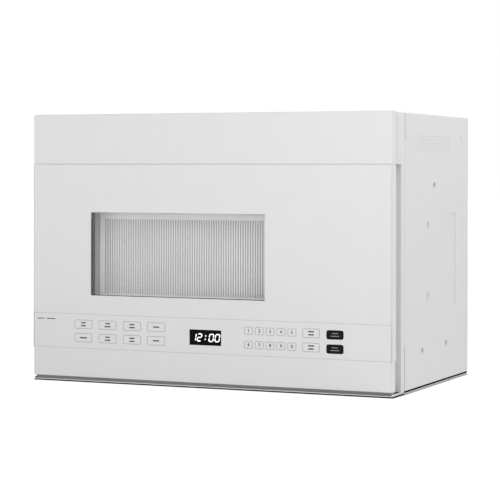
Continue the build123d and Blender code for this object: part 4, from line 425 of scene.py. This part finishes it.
seal_outline, seal_inline = (square(WINDOW, smaller(WINDOW_SIZE, gap), GLASS_SEAL_CORNER)
                             for gap in GLASS_SEAL_GAP)
glass_seal = Shape()
glass_seal.ring(seal_outline, seal_inline, *GLASS_SEAL_DEPTHS)
glass_seal.piece("glass_seal", "door", "black_rubber")

# ---- door: print on the touch keys ----------------------------------------------------------
INK = 0.06  # how far print stands off the pads
KEY_ROWS = (91.2, 70.0)
KEY_CORNER = 2.0
KEY_LINE = 0.64  # width of a key's outline
MODE_KEY = (31.0, 14.0)
MODE_KEYS_X = (-212.0, -169.0, -126.0, -84.0)
NUMBER_KEY = (13.8, 11.5)
NUMBER_COLUMNS = 5
NUMBER_FIRST_X = 72.5
NUMBER_PITCH = 17.75
NUMBER_KEYS_X = tuple(NUMBER_FIRST_X + NUMBER_PITCH * column for column in range(NUMBER_COLUMNS))
SIDE_KEY = (27.3, 13.6)
SIDE_KEY_X = 174.5
STROKE = 2.0  # height of the strokes that stand for words
STROKE_ROUND = 0.45  # corner of a stroke, as a share of its height
LINE_STEP = 4.6
MODE_STROKES = (((8.0, 9.0), (9.0, 11.0), (9.0, 10.0), (11.0,)),
                ((13.0,), (8.0, 10.0), (9.0, 9.0), (11.0,)))  # lengths, by row, key and line
SIDE_STROKES = (10.0, 9.0)
LABEL_STROKES = ((-289.0, 13.0), (-270.5, 16.0))  # place and length, at the strip's left end
LABEL_Z = 98.4
LABEL_STROKE = 1.2
NUMBER_HEIGHT = 6.6
NUMBER_BOLDER = 0.17  # how far the digits' outlines are moved out
NUMBER_CURVES = 4

printed = (PAD_FACE - INK, PAD_FACE)


def key_outline(shape, x, z, size):
    shape.ring(rounded(x, z, size, KEY_CORNER),
               rounded(x, z, smaller(size, KEY_LINE), KEY_CORNER - KEY_LINE), *printed)


def stroke(shape, x, z, width, height=STROKE):
    shape.slab(rounded(x, z, (width, height), height * STROKE_ROUND, steps=2), *printed)


def words(shape, x, z, widths):
    """Strokes one under the other in a key, in place of its words."""
    for line, width in enumerate(widths):
        stroke(shape, x, z + LINE_STEP * ((len(widths) - 1) / 2 - line), width)


def digit_mesh(text):
    curve = bpy.data.curves.new("digit", "FONT")
    curve.body = text
    curve.size = NUMBER_HEIGHT * MM
    curve.extrude = INK * MM / 2
    curve.offset = NUMBER_BOLDER * MM
    curve.resolution_u = NUMBER_CURVES
    curve.align_x = "CENTER"
    curve.align_y = "CENTER"
    source = bpy.data.objects.new("digit", curve)
    bpy.context.scene.collection.objects.link(source)
    drawn = bpy.context.evaluated_depsgraph_get()
    mesh = bpy.data.meshes.new_from_object(source.evaluated_get(drawn))
    bpy.data.objects.remove(source)
    bpy.data.curves.remove(curve)
    return mesh


outlines = Shape()
for z in KEY_ROWS:
    for x in MODE_KEYS_X:
        key_outline(outlines, x, z, MODE_KEY)
    for x in NUMBER_KEYS_X:
        key_outline(outlines, x, z, NUMBER_KEY)
    key_outline(outlines, SIDE_KEY_X, z, SIDE_KEY)
outlines.piece("key_outlines", "door", "grey_plastic", "ink_grey")

legends = Shape()
upright = Matrix.Rotation(math.pi / 2, 4, "X")
for row, z in enumerate(KEY_ROWS):
    for x, widths in zip(MODE_KEYS_X, MODE_STROKES[row]):
        words(legends, x, z, widths)
    words(legends, SIDE_KEY_X, z, SIDE_STROKES)
for x, width in LABEL_STROKES:
    stroke(legends, x, LABEL_Z, width, LABEL_STROKE)
for row, z in enumerate(KEY_ROWS):
    for column, x in enumerate(NUMBER_KEYS_X):
        number = (NUMBER_COLUMNS * row + column + 1) % 10
        stand = Matrix.Translation(Vector(at(x, centre(printed), z))) @ upright
        legends.stamp(digit_mesh(str(number)), stand)
legends.piece("key_legends", "door", "black_plastic", "ink_dark")

# ---- door: the two dark keys, a little below the rows ---------------------------------------
DARK_KEY_X = 212.6
DARK_KEY_DROP = 1.1
DARK_KEY = (27.3, 13.8)
DARK_CORNER = 3.2
DARK_EASE = 0.3  # how far the key's front edge is eased
DARK_CROWN = PAD_FACE - 0.15
DARK_SHOULDER = PAD_FACE - 0.05
DARK_STROKES = ((2.1, 10.0), (-2.0, 14.0))  # height over the key's middle, and length
DARK_STROKE = 1.1
DARK_STROKE_CORNER = 0.25

dark_keys = Shape()
dark_legends = Shape()
for row_z in KEY_ROWS:
    z = row_z - DARK_KEY_DROP
    dark_keys.cushion(DARK_KEY_X, z, DARK_KEY, DARK_CORNER, DARK_EASE,
                      (DARK_CROWN, DARK_SHOULDER, PAD_FACE))
    for offset, width in DARK_STROKES:
        mark = rounded(DARK_KEY_X, z + offset, (width, DARK_STROKE), DARK_STROKE_CORNER, steps=2)
        dark_legends.slab(mark, DARK_CROWN - INK, DARK_CROWN)
dark_keys.piece("dark_keys", "door", "black_plastic")
dark_legends.piece("dark_key_legends", "door", "grey_plastic", "ink_grey")

# ---- door: clock digits in the display ------------------------------------------------------
SEGMENT = 1.7  # width of a segment
SEGMENT_GAP = 0.25
SLANT = 0.16
DIGIT_HEIGHT = 12.6
SEVEN = {"1": "bc", "2": "abged", "0": "abcdef"}  # lit segments, clockwise from a at the top, g inside
CLOCK_DIGITS = (("1", -19.2, 8.2), ("2", -9.7, 8.2), ("0", 10.2, 8.6), ("0", 20.4, 8.6))
COLON_X = 0.4
COLON_DOTS_Z = (-2.6, 2.6)
COLON_DOT = (1.9, 1.9)
COLON_CORNER = 0.5

glowing = (DISPLAY_FACE - INK, DISPLAY_FACE)


def segment_outline(kind, x, width):
    """Corners of one bar of a seven-segment digit, before the slant."""
    top, foot = DIGIT_HEIGHT / 2, -DIGIT_HEIGHT / 2
    half = SEGMENT / 2
    if kind in "agd":
        z = {"a": top - half, "g": 0.0, "d": foot + half}[kind]
        left, right = x - width / 2 + half + SEGMENT_GAP, x + width / 2 - half - SEGMENT_GAP
        return [(right, z), (right - half, z + half), (left + half, z + half), (left, z),
                (left + half, z - half), (right - half, z - half)]
    side = x + (width / 2 - half) * (1 if kind in "bc" else -1)
    if kind in "bf":
        low, high = SEGMENT_GAP, top - half - SEGMENT_GAP
    else:
        low, high = foot + half + SEGMENT_GAP, -SEGMENT_GAP
    return [(side, high), (side - half, high - half), (side - half, low + half), (side, low),
            (side + half, low + half), (side + half, high - half)]


clock = Shape()
for text, x, width in CLOCK_DIGITS:
    for kind in SEVEN[text]:
        outline = [(px + SLANT * pz, DISPLAY_Z + pz) for px, pz in segment_outline(kind, x, width)]
        clock.slab(outline, *glowing)
for dot_z in COLON_DOTS_Z:
    clock.slab(rounded(COLON_X + SLANT * dot_z, DISPLAY_Z + dot_z, COLON_DOT, COLON_CORNER, steps=2),
               *glowing)
clock.piece("clock_digits", "door", "display", "clock_segments")

# ---- door: coil of the latch spring, which shortens as the lever rises, in metres -----------
COIL_TURNS = 8
COIL_STEPS = 20  # for each turn
COIL_WIRE = 0.0004  # radius of the wire
WIRE_SIDES = 8


def coil_spring():
    low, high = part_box("latch_spring")
    middle_x, middle_y = (low[0] + high[0]) / 2, (low[1] + high[1]) / 2
    reach = (high[0] - low[0]) / 2 - COIL_WIRE
    rise = high[2] - low[2] - 2 * COIL_WIRE
    coil = Shape()
    rings = []
    for step in range(COIL_TURNS * COIL_STEPS + 1):
        share = step / (COIL_TURNS * COIL_STEPS)
        turn = 2 * math.pi * COIL_TURNS * share
        wire_z = low[2] + COIL_WIRE + share * rise
        ring = []
        for side in range(WIRE_SIDES):
            around = 2 * math.pi * side / WIRE_SIDES
            out = reach + COIL_WIRE * math.cos(around)
            ring.append(coil.mesh.verts.new((middle_x + out * math.cos(turn),
                                             middle_y + out * math.sin(turn),
                                             wire_z + COIL_WIRE * math.sin(around))))
        rings.append(ring)
    coil.closed(rings)
    spring = coil.piece("coil_spring", "door", "bright_steel", smooth=True, replaces=("latch_spring",))
    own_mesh(spring)


coil_spring()

# ---- grease filters: expanded metal over both faces -----------------------------------------
FILTER_FACES = (1.0, 7.8)  # heights of the two sheets
CELL = (10.0, 5.0)  # diamond of the mesh, across and along
STRAND = 0.55
KNUCKLE = 0.5  # how far a crossing stands up


def expanded_sheet(name, side, body):
    """Diamond mesh of slit and drawn aluminium: strands with a raised knuckle at each crossing."""
    inner = smaller(FILTER_SIZE, FILTER_FRAME)
    left = side * FILTER_X - inner[0] / 2
    near = FILTER_FRONT + FILTER_FRAME
    across, along = int(inner[0] / CELL[0]), int(inner[1] / CELL[1])
    half_x, half_y = inner[0] / across / 2, inner[1] / along / 2
    sheet = Shape()
    for level in FILTER_FACES:
        for j in range(2 * along):
            lift = KNUCKLE if j % 2 else 0.0
            for i in range(2 * across):
                crossings = ((i + 1, j), (i, j + 1)) if (i + j) % 2 else ((i, j), (i + 1, j + 1))
                corners = []
                for (u, v), raised in zip(crossings, (KNUCKLE - lift, lift)):
                    x, y, z = left + u * half_x, near + v * half_y, level + raised
                    corners += [sheet.mesh.verts.new(at(x, y + dy, z + dz)) for dy, dz in
                                ((-STRAND, 0.0), (STRAND, 0.0), (STRAND, STRAND), (-STRAND, STRAND))]
                sheet.bridge(corners[:4], corners[4:])
    sheet.piece(name, body, "filter_mesh")


expanded_sheet("filter_screen_left", -1, "left_filter")
expanded_sheet("filter_screen_right", 1, "right_filter")

# ---- side screws: black crosses of painted shade in their recesses, and the pressed collars round them ---
ROUND_STEPS = 40
CROSS = ((0.7, 2.8), (2.8, 0.7))  # half sizes of the two arms
CROSS_HEIGHT = 0.04
COLLAR = ((4.6, 0.0), (5.4, 0.55), (6.8, 0.55), (8.0, 0.0))  # radius and height of its rings

# the crosses' black is painted shade, for the shade in the screws' cross recesses
recess_shades = Shape()
collars = Shape()
for side in (-1, 1):
    for depth, z in SIDE_SCREWS:
        for arm, reach in CROSS:
            recess_shades.bar((side * SCREW_FACE, side * (SCREW_FACE + CROSS_HEIGHT)),
                        (depth - arm, depth + arm), (z - reach, z + reach))
        loops = [collars.circle(side * (HALF + height), depth, z, radius, ROUND_STEPS)
                 for radius, height in COLLAR]
        for first, second in zip(loops, loops[1:]):
            collars.bridge(first, second)
recess_shades.piece("screw_recess_shades", "housing", "black_plastic")
collars.piece("screw_collars", "housing", "white_paint", smooth=True)

# ---- side dimples: grey discs of painted shade in the two front ones ------------------------
DIMPLE_SHADE_RADIUS = 5.4
DIMPLE_SHADE_FACES = (INSIDE + 0.02, HALF - 0.3)

# the discs' grey is painted shade, for the shade in the dimples
dimple_shades = Shape()
for side in (-1, 1):
    for depth, z in FRONT_DIMPLES:
        dimple_shades.closed([dimple_shades.circle(side * x, depth, z, DIMPLE_SHADE_RADIUS, ROUND_STEPS) for x in DIMPLE_SHADE_FACES])
dimple_shades.piece("side_dimple_shades", "housing", "grey_plastic")

# ---- case: strips of painted shadow and painted shade along its foot, lip and seams ---------
SEAM_FACE = HALF - 0.15  # outer face of what fills the side seam
SEAM_SHADE_HEIGHTS = (71.0, 380.0)  # heights between which the side seam's painted shade is grey, with painted shadow above and below
FOOT_SHADOW = 2.9  # height of the strip of painted shadow under the side panel
FOOT_FACE = INSIDE + 0.4
LIP_SHADOW = 1.9  # height of the strip of painted shadow along the front lip
LIP_SIDE_FACE = INSIDE + 0.2
LIP_DEPTHS = (LIP - 0.2, LIP + 0.4)
GAP_SHADE_DEPTHS = (9.0, 11.0)  # depths of the grey strip of painted shade under the door's foot
GAP_SHADE_HEIGHTS = (1.0, 7.6)
GAP_SHADE_END = INSIDE - 0.5

# black strips whose colour is painted shadow: the contact shadow at the foot and the lip, and the shadow
# deep in the side seam above and below its grey
shadow_strips = Shape()
for side in (-1, 1):
    shadow_strips.bar((side * INSIDE, side * FOOT_FACE), CASE, (CASE_HEIGHTS[0] - FOOT_SHADOW, CASE_HEIGHTS[0]))
    for heights in ((CASE_HEIGHTS[0], SEAM_SHADE_HEIGHTS[0]), (SEAM_SHADE_HEIGHTS[1], CASE_HEIGHTS[1])):
        shadow_strips.bar((side * INSIDE, side * SEAM_FACE), (RETURN_END, CASE[0]), heights)
    shadow_strips.bar((side * INSIDE, side * LIP_SIDE_FACE), (LIP, CASE[0]), (0.0, LIP_SHADOW))
shadow_strips.bar((-INSIDE, INSIDE), LIP_DEPTHS, (0.0, LIP_SHADOW))
shadow_strips.piece("case_shadow_strips", "housing", "black_rubber")

# grey whose colour is painted shade, for the faint middle of the side seam
seam_shade = Shape()
for side in (-1, 1):
    seam_shade.bar((side * INSIDE, side * SEAM_FACE), (RETURN_END, CASE[0]), SEAM_SHADE_HEIGHTS)
seam_shade.piece("seam_grey_shade", "housing", "grey_plastic")

# a grey strip whose colour is painted shade, for the dark gap between the door's foot and the lip
gap_shade = Shape()
gap_shade.bar((-GAP_SHADE_END, GAP_SHADE_END), GAP_SHADE_DEPTHS, GAP_SHADE_HEIGHTS)
gap_shade.piece("gap_shade", "housing", "grey_plastic", "painted_shade_grey")

# ---- door: its fine seams, painted shade along its round edges, and the pale seal in the groove under the fascia ---
LINE_DEPTHS = (-0.03, 0.2)
STRIP_SEAM = 1.0  # height of the lines along the strip's top and foot
STRIP_SEAM_END = HALF - 0.4
BEND_SHADE = (301.15, 301.45)  # line of painted shade where the door's front turns into its round edge
BEND_SHADE_GAP = 0.1
SEAL_Z = 342.43
SEAL = (2 * HALF - 1.6, 1.82)
SEAL_CORNER = 0.1
SEAL_EASE = 0.05
SEAL_DEPTHS = (0.1, 0.15, 0.82)

seams = Shape()
for z in STRIP:
    seams.bar((-STRIP_SEAM_END, STRIP_SEAM_END), LINE_DEPTHS, ends(z, STRIP_SEAM))
seams.piece("strip_seams", "door", "grey_plastic")

bend_shade = Shape()
for side in (-1, 1):
    bend_shade.bar((side * BEND_SHADE[0], side * BEND_SHADE[1]), LINE_DEPTHS,
                (STRIP[0], SEAL_Z - SEAL[1] / 2 - BEND_SHADE_GAP))
bend_shade.piece("edge_bend_shades", "door", "grey_plastic", "ink_grey")

seal = Shape()
seal.cushion(0.0, SEAL_Z, SEAL, SEAL_CORNER, SEAL_EASE, SEAL_DEPTHS, steps=2)
seal.piece("top_seal", "door", "white_plastic")

# ---- floor, in metres -----------------------------------------------------------------------
FLOOR_REACH = 20.0
FLOOR_COLOUR = (0.88, 0.88, 0.88, 1.0)
FLOOR_ROUGHNESS = 0.9
FLOOR_WHITE = 1.25
SHADOW_SHARE = 0.25  # how much of the floor's white is real, shaded light
CONTACT_REACH = 0.007  # how far the painted contact shadow goes out over the floor
CONTACT_DEPTH = 2.5
FULL_WHITE = (1.0, 1.0, 1.0, 1.0)
SEEN_RAYS = ("Is Camera Ray", "Is Glossy Ray", "Is Transmission Ray")  # direct, mirrored, through glass


def pale_floor():
    """White where it is seen, darkened by a painted contact shadow next to the object, with a share of
    shaded light that keeps the object's shadow.
    """
    made = bpy.data.materials.new("floor_pale")
    made.use_nodes = True
    tree = made.node_tree
    surface = tree.nodes["Principled BSDF"]
    surface.inputs["Base Color"].default_value = FLOOR_COLOUR
    surface.inputs["Roughness"].default_value = FLOOR_ROUGHNESS
    # ambient occlusion darkens the white into a painted contact shadow
    near = tree.nodes.new("ShaderNodeAmbientOcclusion")
    near.inputs["Distance"].default_value = CONTACT_REACH
    contact_shadow = worked(tree, "POWER", near.outputs["AO"], CONTACT_DEPTH)
    shine = tree.nodes.new("ShaderNodeEmission")
    shine.inputs["Color"].default_value = FULL_WHITE
    tree.links.new(worked(tree, "MULTIPLY", contact_shadow, FLOOR_WHITE), shine.inputs["Strength"])
    share = worked(tree, "MULTIPLY", any_ray(tree, SEEN_RAYS), 1.0 - SHADOW_SHARE)
    blend_into(tree, "Material Output", share, surface, shine)
    return made


bed = bmesh.new()
bed.faces.new([bed.verts.new((x * FLOOR_REACH, y * FLOOR_REACH, 0.0))
               for x, y in ((-1, -1), (1, -1), (1, 1), (-1, 1))])
floor_mesh = bpy.data.meshes.new("floor")
bed.to_mesh(floor_mesh)
bed.free()
floor_mesh.materials.append(pale_floor())
floor = bpy.data.objects.new("floor", floor_mesh)
bpy.context.scene.collection.objects.link(floor)

# ---- light, in metres -----------------------------------------------------------------------
AMBIENT = 0.45
BODY = (0.0, -0.1, 0.22)  # what the broad lamps look at
SOFTBOXES = (("front", (0.2, -2.9, 0.5), BODY, 1.0, 4.8),
             ("fill", (-1.0, -2.0, 0.6), BODY, 1.5, 9.6),
             ("side", (1.05, 0.3, 1.2), (0.3, 0.0, 0.3), 0.6, 5.4),
             ("near", (0.65, -0.8, 0.75), (0.2, -0.1, 0.3), 0.4, 1.8))  # place, aim, width, watts

world = bpy.data.worlds.new("studio")
bpy.context.scene.world = world
world.use_nodes = True
sky = world.node_tree
ambient = sky.nodes["Background"]
ambient.inputs["Color"].default_value = FULL_WHITE
ambient.inputs["Strength"].default_value = AMBIENT
white = sky.nodes.new("ShaderNodeBackground")
white.inputs["Color"].default_value = FULL_WHITE
blend_into(sky, "World Output", any_ray(sky, SEEN_RAYS), ambient, white)


def softbox(name, place, target, size, power):
    """A square area lamp that looks at a point."""
    lamp = bpy.data.lights.new(name, "AREA")
    lamp.shape = "SQUARE"
    lamp.size = size
    lamp.energy = power
    thing = bpy.data.objects.new(name, lamp)
    thing.location = place
    aim = Vector(target) - Vector(place)
    thing.rotation_euler = aim.to_track_quat("-Z", "Y").to_euler()
    bpy.context.scene.collection.objects.link(thing)


for lamp in SOFTBOXES:
    softbox(*lamp)

# ---- camera, fitted to the photograph's corners; place and far end in metres ----------------
CAMERA_PLACE = (1.21061, -2.75923, 0.33112)
CAMERA_YAW = 0.41566
CAMERA_ROLL = 0.0019
SENSOR = 36.0
LENS = 133.85
SHIFT_UP = -0.1553
FAR_END = 100.0

scene = bpy.context.scene
scene.view_settings.view_transform = "Standard"
view = bpy.data.cameras.new("view")
view.sensor_width = SENSOR
view.lens = LENS
view.shift_y = SHIFT_UP
view.clip_end = FAR_END
camera = bpy.data.objects.new("camera", view)
camera.matrix_world = (Matrix.Translation(Vector(CAMERA_PLACE)) @ Matrix.Rotation(CAMERA_YAW, 4, "Z")
                       @ upright @ Matrix.Rotation(CAMERA_ROLL, 4, "Z"))
scene.collection.objects.link(camera)
scene.camera = camera
